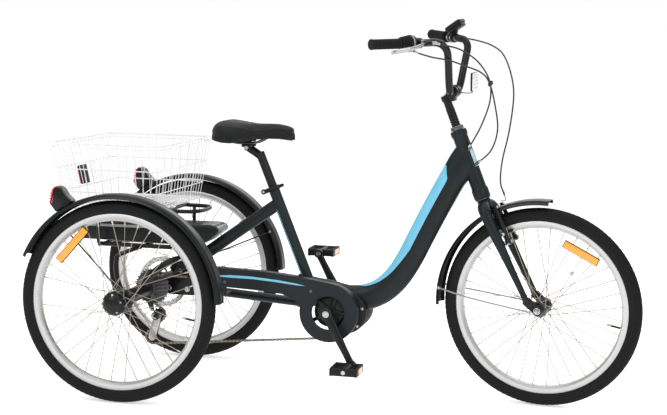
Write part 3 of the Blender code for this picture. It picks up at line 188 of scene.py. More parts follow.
# ------------------------------------------------------------------ materials
def surface(name, colour, roughness, metallic=0.0, scale=70.0, mottle=0.1, bump=0.06, spread=0.06, stretch=(1, 1, 1),
            coat=0.0, sheen=0.0, pattern="noise", depth=0.0004, edge_highlight=0.0, specular=0.5):
    """A Principled surface whose colour, roughness and relief all vary over the piece."""
    material = bpy.data.materials.new(name)
    material.use_nodes = True
    nodes = material.node_tree.nodes
    link = material.node_tree.links.new
    shader = nodes["Principled BSDF"]
    shader.inputs["Metallic"].default_value = metallic
    shader.inputs["Coat Weight"].default_value = coat
    shader.inputs["Coat Roughness"].default_value = 0.12
    shader.inputs["Sheen Weight"].default_value = sheen
    shader.inputs["Specular IOR Level"].default_value = specular
    coordinates = nodes.new("ShaderNodeTexCoord")
    mapping = nodes.new("ShaderNodeMapping")
    mapping.inputs["Scale"].default_value = stretch
    link(coordinates.outputs["Object"], mapping.inputs["Vector"])

    def noise(size, detail):
        node = nodes.new("ShaderNodeTexNoise")
        node.inputs["Scale"].default_value = size
        node.inputs["Detail"].default_value = detail
        node.inputs["Roughness"].default_value = 0.62
        link(mapping.outputs["Vector"], node.inputs["Vector"])
        return node.outputs["Fac"]

    broad = noise(scale * 0.13, 3.0)
    fine = noise(scale, 5.0)
    mixed = nodes.new("ShaderNodeMath")
    mixed.operation = "MULTIPLY_ADD"
    link(fine, mixed.inputs[0])
    mixed.inputs[1].default_value = 0.45
    link(broad, mixed.inputs[2])
    ramp = nodes.new("ShaderNodeValToRGB")
    ramp.color_ramp.elements[0].position = 0.45
    ramp.color_ramp.elements[1].position = 0.95
    ramp.color_ramp.elements[0].color = (*[c * (1 - mottle) for c in colour], 1)
    ramp.color_ramp.elements[1].color = (*[min(1, c * (1 + mottle)) for c in colour], 1)
    link(mixed.outputs[0], ramp.inputs["Fac"])
    colour_out = ramp.outputs["Color"]
    # Painted highlight: sharp convex edges, found by pointiness, are blended towards a paler copy of the colour,
    # standing in for the grey highlights that light leaves on edges.
    if edge_highlight:
        geometry = nodes.new("ShaderNodeNewGeometry")
        edge = nodes.new("ShaderNodeMapRange")
        edge.inputs["From Min"].default_value = 0.53
        edge.inputs["From Max"].default_value = 0.66
        edge.inputs["To Max"].default_value = edge_highlight
        link(geometry.outputs["Pointiness"], edge.inputs["Value"])
        blend = nodes.new("ShaderNodeMix")
        blend.data_type = "RGBA"
        link(edge.outputs["Result"], blend.inputs["Factor"])
        link(colour_out, blend.inputs["A"])
        blend.inputs["B"].default_value = (*[min(1, c * 2.2 + 0.03) for c in colour], 1)
        colour_out = blend.outputs["Result"]
    link(colour_out, shader.inputs["Base Color"])
    rough = nodes.new("ShaderNodeMapRange")
    rough.inputs["From Min"].default_value = 0.35
    rough.inputs["From Max"].default_value = 0.75
    rough.inputs["To Min"].default_value = max(0.03, roughness - spread)
    rough.inputs["To Max"].default_value = min(1.0, roughness + spread)
    link(broad, rough.inputs["Value"])
    link(rough.outputs["Result"], shader.inputs["Roughness"])
    relief = fine
    if pattern in ("leather", "cells"):
        cells = nodes.new("ShaderNodeTexVoronoi")
        cells.feature = "DISTANCE_TO_EDGE" if pattern == "leather" else "F1"
        cells.inputs["Scale"].default_value = scale * (9.0 if pattern == "leather" else 3.0)
        link(mapping.outputs["Vector"], cells.inputs["Vector"])
        rounded = nodes.new("ShaderNodeMapRange")
        rounded.inputs["From Max"].default_value = 0.12 if pattern == "leather" else 0.6
        link(cells.outputs["Distance"], rounded.inputs["Value"])
        relief = rounded.outputs["Result"]
    elif pattern == "rings":
        wave = nodes.new("ShaderNodeTexWave")
        wave.wave_type = "RINGS"
        wave.rings_direction = "Y"
        wave.inputs["Scale"].default_value = scale * 8
        wave.inputs["Distortion"].default_value = 1.5
        link(coordinates.outputs["Object"], wave.inputs["Vector"])
        relief = wave.outputs["Fac"]
    elif pattern == "prisms":
        wave = nodes.new("ShaderNodeTexChecker")
        wave.inputs["Scale"].default_value = scale * 5
        link(mapping.outputs["Vector"], wave.inputs["Vector"])
        relief = wave.outputs["Fac"]
    bumps = nodes.new("ShaderNodeBump")
    bumps.inputs["Strength"].default_value = bump
    bumps.inputs["Distance"].default_value = depth
    link(relief, bumps.inputs["Height"])
    link(bumps.outputs["Normal"], shader.inputs["Normal"])
    return material


# The frame paint, black paint, tyre rubber and dark steel below carry a painted edge highlight: their sharp convex
# edges are lightened.
PAINT = surface("frame_paint", (0.007, 0.0105, 0.012), 0.44, 0.0, 220, 0.1, 0.1, coat=0.04, edge_highlight=0.25, specular=0.22)
STRIPE = surface("stripe_film", (0.175, 0.52, 0.72), 0.4, 0.0, 120, 0.05, 0.04, coat=0.1, specular=0.3)
BADGE = surface("badge_film", (0.46, 0.66, 0.8), 0.4, 0.0, 160, 0.12, 0.04, specular=0.3)
BLACK = surface("black_paint", (0.0045, 0.0052, 0.0058), 0.36, 0.0, 200, 0.15, 0.08, coat=0.05, edge_highlight=0.35,
                specular=0.25)
PLASTIC = surface("black_plastic", (0.0075, 0.008, 0.0086), 0.48, 0.0, 500, 0.12, 0.25, pattern="cells", depth=0.0001,
                  specular=0.22)
FENDER = surface("fender_gloss", (0.0045, 0.0055, 0.006), 0.34, 0.0, 60, 0.1, 0.02, coat=0.1, specular=0.22)
TREAD = surface("tyre_rubber", (0.0085, 0.0088, 0.0092), 0.68, 0.0, 160, 0.28, 0.3, spread=0.1, edge_highlight=0.5,
                specular=0.12)
RUBBER = surface("grip_rubber", (0.011, 0.0112, 0.0118), 0.74, 0.0, 300, 0.18, 0.35, pattern="cells", depth=0.0002,
                 specular=0.15)
ALLOY = surface("rim_alloy", (0.56, 0.565, 0.56), 0.4, 0.75, 60, 0.05, 0.12, pattern="rings", depth=0.0001)
STEEL = surface("bright_steel", (0.46, 0.46, 0.455), 0.27, 1.0, 180, 0.1, 0.06, stretch=(1, 6, 1))
SPOKE = surface("spoke_steel", (0.34, 0.3, 0.25), 0.32, 0.8, 150, 0.16, 0.04)
DARK_STEEL = surface("dark_steel", (0.1, 0.1, 0.105), 0.38, 1.0, 160, 0.2, 0.1, edge_highlight=0.4)
CHAIN = surface("chain_steel", (0.19, 0.155, 0.115), 0.42, 0.8, 260, 0.3, 0.15)
WIRE = surface("basket_wire", (0.8, 0.8, 0.8), 0.34, 0.0, 180, 0.05, 0.1, coat=0.4)
LEATHER = surface("saddle_cover", (0.0105, 0.0115, 0.0125), 0.55, 0.0, 110, 0.22, 0.45, sheen=0.05, pattern="leather",
                  depth=0.0003, specular=0.2)
LEATHER_SIDE = surface("saddle_panel", (0.008, 0.0085, 0.0095), 0.62, 0.0, 150, 0.22, 0.5, sheen=0.05,
        pattern="leather", depth=0.0003, specular=0.18)
THREAD = surface("saddle_thread", (0.045, 0.045, 0.048), 0.75, 0.0, 600, 0.2, 0.3)
CASE = surface("battery_case", (0.0085, 0.009, 0.01), 0.42, 0.0, 420, 0.12, 0.2, pattern="cells", depth=0.0001,
               specular=0.22)
SILVER = surface("silver_plastic", (0.27, 0.28, 0.29), 0.42, 0.25, 300, 0.08, 0.12)
RED = surface("red_lens", (0.55, 0.012, 0.016), 0.16, 0.0, 90, 0.1, 0.35, coat=0.7, pattern="prisms", depth=0.0003)
AMBER = surface("amber_reflector", (0.95, 0.36, 0.02), 0.18, 0.0, 100, 0.06, 0.35, coat=0.7, pattern="prisms",
                depth=0.0003)
CLEAR = surface("clear_reflector", (0.8, 0.83, 0.85), 0.15, 0.2, 100, 0.05, 0.35, coat=0.7, pattern="prisms",
                depth=0.0003)
SCREEN = surface("display_glass", (0.045, 0.055, 0.06), 0.12, 0.0, 40, 0.15, 0.01, coat=1.0)
CABLE = surface("cable_jacket", (0.008, 0.008, 0.0085), 0.45, 0.0, 300, 0.15, 0.1)
BRASS = surface("nipple_brass", (0.66, 0.58, 0.42), 0.32, 0.9, 200, 0.12, 0.05)


# ------------------------------------------------------------------ shape building
class Shape:
    """Gathers closed surfaces; slot is the material number that new faces take."""

    def __init__(self):
        self.verts = []
        self.faces = []
        self.slots = []
        self.slot = 0
        self.matrix = Matrix.Identity(4)

    def paint(self, slot):
        self.slot = slot
        return self

    def grid(self, rings, joined=False, caps=True, open_rings=False):
        """A skin over rings of points. open_rings leaves each ring's last point unjoined to its first."""
        starts = []
        for ring in rings:
            starts.append((len(self.verts), len(ring)))
            self.verts += [self.matrix @ Vector(p) for p in ring]
        pairs = list(zip(starts, starts[1:]))
        if joined:
            pairs.append((starts[-1], starts[0]))
        for (a, count_a), (b, count_b) in pairs:
            count = max(count_a, count_b)
            for i in range(count - 1 if open_rings else count):
                j = (i + 1) % count
                if count_a == 1:
                    self.face(a, b + j, b + i)
                elif count_b == 1:
                    self.face(a + i, a + j, b)
                else:
                    self.face(a + i, a + j, b + j, b + i)
        if caps and not joined and not open_rings:
            for start, count in (starts[0], starts[-1]):
                if count > 2:
                    self.face(*range(start, start + count))
        return self

    def face(self, *corners):
        self.faces.append(corners)
        self.slots.append(self.slot)

    def turned(self, profile, matrix=Matrix.Identity(4), steps=48, start=0.0, end=360.0, joined=False):
        """(radius, y) points turned about Y. joined closes the profile on itself."""
        whole = abs(end - start - 360) < 1e-6
        count = steps if whole else steps + 1
        angles = [math.radians(start + (end - start) * i / steps) for i in range(count)]
        if whole:
            rings = [[matrix @ Vector((0, y, 0))] if r == 0 else [matrix @ Vector((r * math.cos(a), y,
                    r * math.sin(a))) for a in angles] for r, y in profile]
            return self.grid(rings, joined=joined)
        rings = [[matrix @ Vector((r * math.cos(a), y, r * math.sin(a))) for r, y in profile] for a in angles]
        return self.grid(rings)

    def ring(self, inner, outer, low, high, matrix, steps):
        """A ring of plain rectangular section about Y."""
        return self.turned([(inner, low), (outer, low), (outer, high), (inner, high)], matrix, steps, joined=True)

    def rod(self, start, end, radius, sides=20, edge=0.0006, top=None):
        """A round bar with softened ends; top is its radius at the far end."""
        start = Vector(start)
        run = Vector(end) - start
        top = radius if top is None else top
        edge = min(edge, radius * 0.4, run.length * 0.3)
        profile = [(0, 0), (radius - edge, 0), (radius, edge), (top, run.length - edge), (top - edge, run.length),
                   (0, run.length)]
        return self.turned(profile, along(start, run), sides)

    def tube(self, path, sizes, sides=20, side=(0, 1, 0), joined=False):
        if isinstance(sizes, (int, float)):
            sizes = (sizes, sizes)
        if isinstance(sizes, tuple):
            sizes = [sizes] * len(path)
        return self.grid(tube_rings(path, sizes, sides, side, joined), joined=joined)

    def prism(self, outline, y0, y1, soft=0.001, matrix=Matrix.Identity(4)):
        """An outline of (x, z) points extruded along Y with softened edges."""
        low, high = sorted((y0, y1))
        soft = min(soft, (high - low) * 0.35)
        inner = offset(outline, -soft)
        middle = offset(outline, -soft * 0.3)
        layers = [(inner, low), (middle, low + soft * 0.3), (outline, low + soft), (outline, high - soft),
                  (middle, high - soft * 0.3), (inner, high)]
        return self.grid([[matrix @ Vector((x, y, z)) for x, z in ring] for ring, y in layers])

    def block(self, low, high, soft=0.002, matrix=Matrix.Identity(4), segments=3):
        """A box between two opposite corners, its edges rounded."""
        low, high = Vector(map(min, low, high)), Vector(map(max, low, high))
        size = high - low
        cube = bmesh.new()
        bmesh.ops.create_cube(cube, size=1.0)
        cube.transform(Matrix.Translation((low + high) / 2) @ Matrix.Diagonal((*size, 1)))
        bmesh.ops.bevel(cube, geom=cube.edges[:], offset=min(soft, min(size) * 0.45), segments=segments, affect="EDGES",
                        profile=0.5)
        cube.verts.index_update()
        base = len(self.verts)
        self.verts += [self.matrix @ (matrix @ v.co) for v in cube.verts]
        for f in cube.faces:
            self.face(*[base + v.index for v in f.verts])
        cube.free()
        return self

    def bolt(self, centre, direction, radius=0.004, height=0.004, slot=None):
        """A hexagon socket cap screw on a washer."""
        kept = self.slot
        self.slot = kept if slot is None else slot
        place = along(Vector(centre), Vector(direction))
        self.turned([(0, -0.001), (radius * 1.5, -0.001), (radius * 1.5, 0.0006), (0, 0.0006)], place, 20)
        inner = radius * 0.52
        self.turned([(0, 0), (radius, 0), (radius, height * 0.8), (radius * 0.85, height), (inner, height),
                     (inner * 0.9, height * 0.4), (0, height * 0.4)], place, 18)
        self.slot = kept
        return self


def along(start, direction):
    """Lays +Y on a direction from a start point."""
    turn = Vector((0, 1, 0)).rotation_difference(Vector(direction).normalized())
    return Matrix.Translation(start) @ turn.to_matrix().to_4x4()


def tube_rings(path, sizes, sides, side=(0, 1, 0), joined=False, turns=None):
    """Rings round a path, sizes giving each one's half width and half height; turns lists the angles to take."""
    path = [Vector(p) for p in path]
    last = len(path) - 1
    reference = Vector(side)
    rings = []
    for i, (point, (wide, high)) in enumerate(zip(path, sizes)):
        before = path[i - 1] if i or joined else path[0]
        after = path[i + 1] if i < last else (path[0] if joined else path[last])
        tangent = (after - before).normalized()
        reference = (reference - reference.dot(tangent) * tangent).normalized()
        upward = reference.cross(tangent)
        angles = [2 * math.pi * k / sides for k in range(sides)] if turns is None else turns
        rings.append([point + wide * math.cos(a) * reference + high * math.sin(a) * upward for a in angles])
    return rings


def spline(points, steps=8):
    points = [Vector(p) for p in points]
    guide = [2 * points[0] - points[1], *points, 2 * points[-1] - points[-2]]
    smooth = []
    for before, here, there, after in zip(guide, guide[1:], guide[2:], guide[3:]):
        for i in range(steps):
            t = i / steps
            smooth.append(0.5 * (2 * here + (there - before) * t + (2 * before - 5 * here + 4 * there - after) * t ** 2
                                 + (3 * here - before - 3 * there + after) * t ** 3))
    return [*smooth, points[-1]]


def marks(listed, count):
    """Sizes for count points, read evenly from a few (share, half width, half height) marks."""
    found = []
    for i in range(count):
        share = i / (count - 1)
        for (s0, w0, h0), (s1, w1, h1) in zip(listed, listed[1:]):
            if share <= s1 + 1e-9:
                t = (share - s0) / (s1 - s0)
                t = t * t * (3 - 2 * t)
                found.append((w0 + (w1 - w0) * t, h0 + (h1 - h0) * t))
                break
    return found


def offset(outline, distance):
    """A closed (x, z) outline moved outwards by distance; negative moves it in."""
    count = len(outline)
    area = sum(outline[i][0] * outline[(i + 1) % count][1] - outline[(i + 1) % count][0] * outline[i][1]
               for i in range(count))
    sign = 1 if area > 0 else -1
    moved = []
    for i in range(count):
        p, q, r = Vector(outline[i - 1]), Vector(outline[i]), Vector(outline[(i + 1) % count])
        a, b = (q - p).normalized(), (r - q).normalized()
        normal = Vector((a.y + b.y, -a.x - b.x)) * sign
        normal = normal.normalized() if normal.length > 1e-9 else Vector((a.y, -a.x)) * sign
        stretch = max(0.6, abs(normal.dot(Vector((a.y, -a.x)) * sign)))
        moved.append(tuple(q + normal * (distance / stretch)))
    return moved


def arc(cx, cz, radius, start, end, count):
    angles = [math.radians(start + (end - start) * i / (count - 1)) for i in range(count)]
    return [(cx + radius * math.cos(a), cz + radius * math.sin(a)) for a in angles]


def rounded(outline, radius, steps=4):
    """A closed (x, z) outline with its corners rounded."""
    made = []
    count = len(outline)
    for i in range(count):
        p, q, r = Vector(outline[i - 1]), Vector(outline[i]), Vector(outline[(i + 1) % count])
        reach = min(radius, (p - q).length * 0.45, (r - q).length * 0.45)
        a, b = q + (p - q).normalized() * reach, q + (r - q).normalized() * reach
        for k in range(steps + 1):
            t = k / steps
            made.append(tuple(a * (1 - t) ** 2 + q * (2 * t * (1 - t)) + b * t * t))
    return made


def hexagon(radius, turn=0):
    return [(radius * math.cos(math.radians(60 * k + turn)), radius * math.sin(math.radians(60 * k + turn)))
            for k in range(6)]


def toothed(teeth, root, tip, cx=0.0, cz=0.0, start=0.0):
    """The outline of a sprocket."""
    points = []
    for i in range(teeth):
        for share, radius in ((0.0, root), (0.22, root), (0.42, tip), (0.58, tip), (0.78, root)):
            a = 2 * math.pi * (i + share) / teeth + start
            points.append((cx + radius * math.cos(a), cz + radius * math.sin(a)))
    return points


def piece(name, shape, materials, body, nodes=(), matrix=FIXED, angle=34, ride=True):
    """One finished piece of the visual model, riding on its CAD body."""
    mesh = bpy.data.meshes.new(name)
    mesh.from_pydata(shape.verts, [], shape.faces)
    for material in materials if isinstance(materials, (list, tuple)) else [materials]:
        mesh.materials.append(material)
    mesh.polygons.foreach_set("material_index", shape.slots)
    fixer = bmesh.new()
    fixer.from_mesh(mesh)
    bmesh.ops.recalc_face_normals(fixer, faces=fixer.faces[:])
    fixer.to_mesh(mesh)
    fixer.free()
    mesh.shade_smooth()
    mesh.set_sharp_from_angle(angle=math.radians(angle))
    obj = bpy.data.objects.new(name, mesh)
    bpy.context.scene.collection.objects.link(obj)
    obj.matrix_world = matrix
    if ride:
        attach(obj, body)
    if nodes:
        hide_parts(*nodes)
    return obj


# ------------------------------------------------------------------ wheels
TREAD_STEPS = 360
SPOKE_COUNT = 36
TREAD_ANGLES = (-115, -98, -84, -73, -64, -56, -48, -40, -33, -27, -22, -15, -9, -3, 3, 9, 15, 22, 27, 33, 40, 48, 56,
                64, 73, 84, 98, 115)


def tread_drop(step, angle):
    """How far the rubber lies under the tops of the tread blocks."""
    across = abs(angle)
    lean = step + (1 if angle > 0 else 0)
    if across > 78:
        return 0.0004
    if 24 < across < 30:
        return 0.0015
    if across >= 30:
        return 0.0017 if (lean + int(across / 18)) % 3 == 0 else 0.0
    return 0.0012 if 8 < across < 23 and lean % 3 == 0 else 0.0


def tyre_shape():
    shape = Shape()
    crown = TYRE_R - TYRE_HALF
    rings = []
    for step in range(TREAD_STEPS):
        turn = 2 * math.pi * (step + 0.5) / TREAD_STEPS
        profile = [(RIM_R, -BEAD_HALF)]
        for degrees in TREAD_ANGLES:
            reach = TYRE_HALF - tread_drop(step, degrees)
            a = math.radians(degrees)
            profile.append((crown + reach * math.cos(a), reach * math.sin(a)))
        profile.append((RIM_R, BEAD_HALF))
        rings.append([(r * math.cos(turn), y, r * math.sin(turn)) for r, y in profile])
    shape.grid(rings, joined=True)
    for side in (-1, 1):
        for degrees in (92, 108):
            a = math.radians(degrees)
            r, y = crown + (TYRE_HALF - 0.0006) * math.cos(a), side * (TYRE_HALF - 0.0006) * math.sin(a)
            bead = [(r + 0.0011 * math.cos(b), y + 0.0011 * math.sin(b)) for b in [2 * math.pi * k / 6
                    for k in range(6)]]
            shape.turned(bead, steps=120, joined=True)
    return shape


def rim_shape():
    """A box-section rim with brake tracks, a hooked edge and a valve."""
    half = [(RIM_INNER_R, 0.0058), (RIM_INNER_R + 0.0012, 0.0086), (0.244, 0.0132), (0.245, RIM_HALF),
            (0.2462, RIM_HALF - 0.0004), (0.257, RIM_HALF - 0.0004), (0.258, RIM_HALF), (0.26, 0.0137),
            (0.2603, 0.0125), (0.2575, 0.0118)]
    profile = half + [(r, -y) for r, y in reversed(half)]
    shape = Shape().turned(profile, steps=160, joined=True)
    a = math.radians(-10)
    inner = Vector((math.cos(a), 0, math.sin(a)))
    shape.paint(1).rod(inner * 0.2385, inner * 0.21, 0.0032, 12)
    shape.paint(2).rod(inner * 0.212, inner * 0.199, 0.0042, 14)
    return shape


def spoke_shape(flange_r, flange_y):
    """Crossed spokes with their nipples, half of them from each flange."""
    shape = Shape()
    for i in range(SPOKE_COUNT):
        side = 1 if i % 2 else -1
        rim_turn = math.radians(360 / SPOKE_COUNT * i + 5)
        lean = math.radians(58 if (i // 2) % 2 else -58)
        weave = 0.0022 if (i // 2) % 2 else -0.0022
        hub = Vector((flange_r * math.cos(rim_turn + lean), side * flange_y + weave,
                      flange_r * math.sin(rim_turn + lean)))
        rim = Vector((RIM_INNER_R * math.cos(rim_turn), side * 0.0022, RIM_INNER_R * math.sin(rim_turn)))
        run = (rim - hub).normalized()
        shape.paint(0).rod(hub, rim, 0.00115, 6, 0.0002)
        shape.rod(hub + Vector((0, -side * 0.004, 0)), hub + Vector((0, side * 0.0026, 0)), 0.0019, 8)
        shape.paint(1).rod(rim - run * 0.013, rim + run * 0.002, 0.0021, 8, 0.0004)
    return shape


def reflector_shape(first, last, y, lens_side):
    """An amber spoke reflector between two (radius, degrees) places on a face of the wheel."""
    a, b = [polar(r, math.radians(t), y) for r, t in (first, last)]
    middle, run = (a + b) / 2, b - a
    turn = Matrix.Translation(middle) @ Matrix.Rotation(-math.atan2(run.z, run.x), 4, "Y")
    half = run.length / 2
    shape = Shape().paint(1)
    shape.block((-half, -0.0035, -0.0125), (half, 0.0035, 0.0125), 0.003, turn)
    shape.paint(0).block((-half + 0.002, min(0, lens_side * 0.0055), -0.0105), (half - 0.002,
            max(0, lens_side * 0.0055), 0.0105), 0.0016, turn)
    shape.block((-half + 0.002, min(0, -lens_side * 0.0048), -0.0105), (half - 0.002, max(0, -lens_side * 0.0048),
            0.0105), 0.0016, turn)
    for x in (-half * 0.62, half * 0.62):
        shape.paint(2).rod(turn @ Vector((x, -0.0066, 0)), turn @ Vector((x, 0.0066, 0)), 0.0022, 10)
    return shape


def rear_hub_shape(side):
    """Flanges and barrel with a domed, ribbed cap on the outer end; side is the wheel's outer side."""
    flip = Matrix.Identity(4) if side > 0 else Matrix.Rotation(math.pi, 4, "Z")
    shape = Shape()
    shape.matrix = flip
    shape.paint(0).turned([(HUB_BORE_R, -0.046), (0.0195, -0.046), (0.02, -0.0455), (0.02, -0.036), (0.0235, -0.034),
            (0.024, -0.024), (0.0205, -0.018), (0.0205, 0.018), (0.024, 0.024), (HUB_BORE_R, 0.03)], steps=48,
            joined=True)
    for y in (-0.0302, 0.0268):
        shape.paint(1).turned([(0.02, y), (0.0355, y), (0.0365, y + 0.0012), (0.0365, y + 0.0022), (0.0355, y + 0.0034),
                (0.02, y + 0.0034)], steps=54, joined=True)
    cap = toothed(36, 0.0318, 0.0336)
    shape.paint(2).prism(cap, 0.0305, 0.044, 0.0012)
    shape.turned([(0.0316, 0.0435), (0.03, 0.0465), (0.0272, 0.0505), (0.0225, 0.0548), (0.016, 0.0578),
                  (0.0085, 0.0594), (0, 0.06)], steps=48)
    for i in range(5):
        a = math.radians(72 * i + 20)
        shape.paint(3).bolt(polar(0.0262, a, 0.0495), polar(0.45, a, 1), 0.0026, 0.0026)
    return shape


def front_hub_shape():
    shape = Shape()
    half = [(0.0054, 0.046), (0.0105, 0.046), (0.0112, 0.045), (0.0112, 0.036), (0.0135, 0.0335)]
    shape.paint(0).turned(half + [(0.0135, 0.026), (0.012, 0.02), (0.012, -0.02), (0.0135, -0.026)]
                          + [(r, -y) for r, y in reversed(half)], steps=40, joined=True)
    for y in (-0.0311, 0.0279):
        shape.paint(1).turned([(0.012, y), (0.0235, y), (0.0245, y + 0.001), (0.0245, y + 0.0022), (0.0235, y + 0.0032),
                (0.012, y + 0.0032)], steps=48, joined=True)
    return shape


def wheel(label, suffix, body, matrix, hub, flange_r, flange_y, marker, lens_side):
    tyre = tyre_shape()
    carry = FIXED.inverted() @ matrix
    tyre.verts = [carry @ v for v in tyre.verts]
    piece(label + "_tyre", tyre, TREAD, body, ["tyre_" + suffix], FIXED, 50)
    piece(label + "_rim", rim_shape(), [ALLOY, BLACK, STEEL], body, ["rim_" + suffix], matrix)
    piece(label + "_spokes", spoke_shape(flange_r, flange_y), [SPOKE, BRASS], body,
          ["spokes_" + suffix], matrix)
    piece(label + "_hub", hub, [BLACK, DARK_STEEL, FENDER, STEEL], body, ["spokes_" + suffix], matrix)
    piece(label + "_spoke_reflector", reflector_shape(*marker, lens_side * 0.013, lens_side), [AMBER, PLASTIC, STEEL],
          body, (), matrix)


FRONT_HUB = STEERED @ Matrix.Translation(head(RAKE, 0, 0))
REAR_MARK = ((0.213, 148.0), (0.232, 114.0))
FRONT_MARK = ((0.2095, 72.3), (0.2238, 41.7))
wheel("right", "right", "drive_axle", FIXED @ at(0, -TRACK / 2, AXLE_Z), rear_hub_shape(-1), 0.0325, 0.0285, REAR_MARK,
      -1)
wheel("left", "left", "left_wheel", FIXED @ at(0, TRACK / 2, AXLE_Z), rear_hub_shape(1), 0.0325, 0.0285, REAR_MARK, 1)
wheel("front", "front", "front_wheel", FRONT_HUB, front_hub_shape(), 0.0215, 0.0295, FRONT_MARK, -1)
magnet = Shape().rod((0.0919, -0.016, 0.1135), (0.0919, -0.028, 0.1135), 0.0055, 20)
magnet.paint(1).rod((0.0919, -0.0275, 0.1135), (0.0919, -0.0295, 0.1135), 0.0045, 20)
piece("front_speed_magnet", magnet, [SILVER, STEEL], "front_wheel", (), FRONT_HUB)


# ------------------------------------------------------------------ fenders
def crown_drop(share):
    """How far a fender's section lies under its crown, by share of its half width."""
    share = abs(share)
    return 0.0006 + 0.0119 * share ** 7 - 0.0006 * math.exp(-((share - 0.45) / 0.06) ** 2)


def fender_shape(radius, start, end, matrix):
    """A thin arched mudguard with two pressed lines and rolled edges."""
    shape = Shape()
    shape.matrix = matrix
    shares = [-1 + 2 * k / 36 for k in range(37)]
    outer = [(radius - crown_drop(s), FENDER_HALF * s) for s in shares]
    inner = [(radius - crown_drop(s) - 0.0015, FENDER_HALF * s * 0.955) for s in reversed(shares)]
    steps = int((end - start) * 0.55)
    shape.turned(outer + inner, steps=steps, start=start, end=end)
    for side in (-1, 1):
        bead = [polar(radius - 0.0125, math.radians(a), side * (FENDER_HALF - 0.001))
                for a in [start + (end - start) * k / steps for k in range(steps + 1)]]
        shape.tube(bead, 0.0017, 8)
    return shape


def wire_stay(shape, points):
    shape.paint(1).tube(spline(points, 6), 0.0024, 10)


for side, name, light in ((-1, "fender_right", "tail_light_right"), (1, "fender_left", "tail_light_left")):
    middle = at(0, side * TRACK / 2, AXLE_Z)
    shape = fender_shape(FENDER_R, 2.5, 156.5, middle)
    shape.matrix = Matrix.Identity(4)
    edge_y = side * (TRACK / 2 - 0.0275)
    edge_r = FENDER_R - 0.0115
    for angle, root in ((27.0, (0.016, 0.326)), (132.0, (-0.016, 0.326))):
        x = edge_r * math.cos(math.radians(angle))
        z = AXLE_Z + edge_r * math.sin(math.radians(angle))
        lean = Vector((x - root[0], 0, z - root[1])).normalized() * 0.05
        wire_stay(shape, [(root[0], side * 0.2985, root[1]), (x - lean.x, side * (TRACK / 2 - 0.036), z - lean.z),
                          (x, edge_y, z)])
        shape.paint(2).bolt((x, edge_y - side * 0.001, z), (0, -side, 0), 0.0032, 0.0025)
        shape.bolt((root[0], side * 0.2995, root[1]), (0, -side, 0), 0.0032, 0.0025)
    piece(name + "_shell", shape, [FENDER, BLACK, STEEL], "frame", [name])

    y = side * TRACK / 2
    housing = [(-0.205, 0.578), (-0.1985, 0.6205), (-0.188, 0.6305), (-0.172, 0.6265), (-0.156, 0.603),
               (-0.1385, 0.5886), (-0.142, 0.585), *arc(0, AXLE_Z, FENDER_R + 0.0002, 117.5, 126.0, 7)]
    lamp = Shape().prism(rounded(housing, 0.004), y - 0.0208, y + 0.0208, 0.0035)
    lens = [(-0.2072, 0.5765), (-0.2004, 0.6218), (-0.1885, 0.6322), (-0.1835, 0.63), (-0.19, 0.616), (-0.1945, 0.58)]
    lamp.paint(1).prism(rounded(lens, 0.004), y - 0.0213, y + 0.0213, 0.004)
    lens_tilt = at(-0.204, y, 0.5985) @ Matrix.Rotation(math.radians(9.0), 4, "Y")
    for k in range(4):
        lamp.paint(1).block((-0.0046, -0.0165, -0.014 + 0.008 * k), (0.0, 0.0165, -0.012 + 0.008 * k), 0.0006,
                            lens_tilt, 1)
    piece(light + "_lamp", lamp, [FENDER, RED, SILVER], "frame", [light])

centre = head(RAKE, 0, 0)
shape = fender_shape(FRONT_FENDER_R, 86.5, 182.5, Matrix.Translation(centre))
shape.matrix = Matrix.Identity(4)
for side in (-1, 1):
    rim_end = centre + polar(FRONT_FENDER_R - 0.0115, math.radians(173.0), side * 0.029)
    low_end = centre + Vector((-0.02, side * 0.0625, -0.004))
    wire_stay(shape, [low_end, centre + Vector((-0.2, side * 0.052, 0.02)), rim_end])
    shape.paint(2).bolt(rim_end, (0, side, 0), 0.0032, 0.0026)
    shape.bolt(low_end, (0, side, 0), 0.0036, 0.003)
tab = head(0, 0, 0.3275)
shape.paint(2).block((-0.01, -0.009, -0.016), (0.022, 0.009, -0.0125), 0.001, Matrix.Translation(tab))
shape.bolt(tab + Vector((0.006, 0, -0.0125)), (0, 0, 1), 0.0036, 0.003)
for side in (-1, 1):
    flap = centre + Vector((-FRONT_FENDER_R + 0.004, side * 0.022, -0.006))
    shape.paint(2).bolt(flap, (-1, 0, 0), 0.0022, 0.0016)
piece("front_fender_shell", shape, [FENDER, SILVER, STEEL], "steering_assembly", ["front_fender"],
      STEERED)


# ------------------------------------------------------------------ fork, front brake and axle
def weld(shape, centre, direction, radius, thick=0.0022):
    """A bead of weld round a tube's foot."""
    place = along(Vector(centre), Vector(direction))
    ring = [(radius + thick * math.cos(a), thick * math.sin(a)) for a in [math.pi * k / 4 for k in range(8)]]
    shape.turned(ring, place, 44, joined=True)


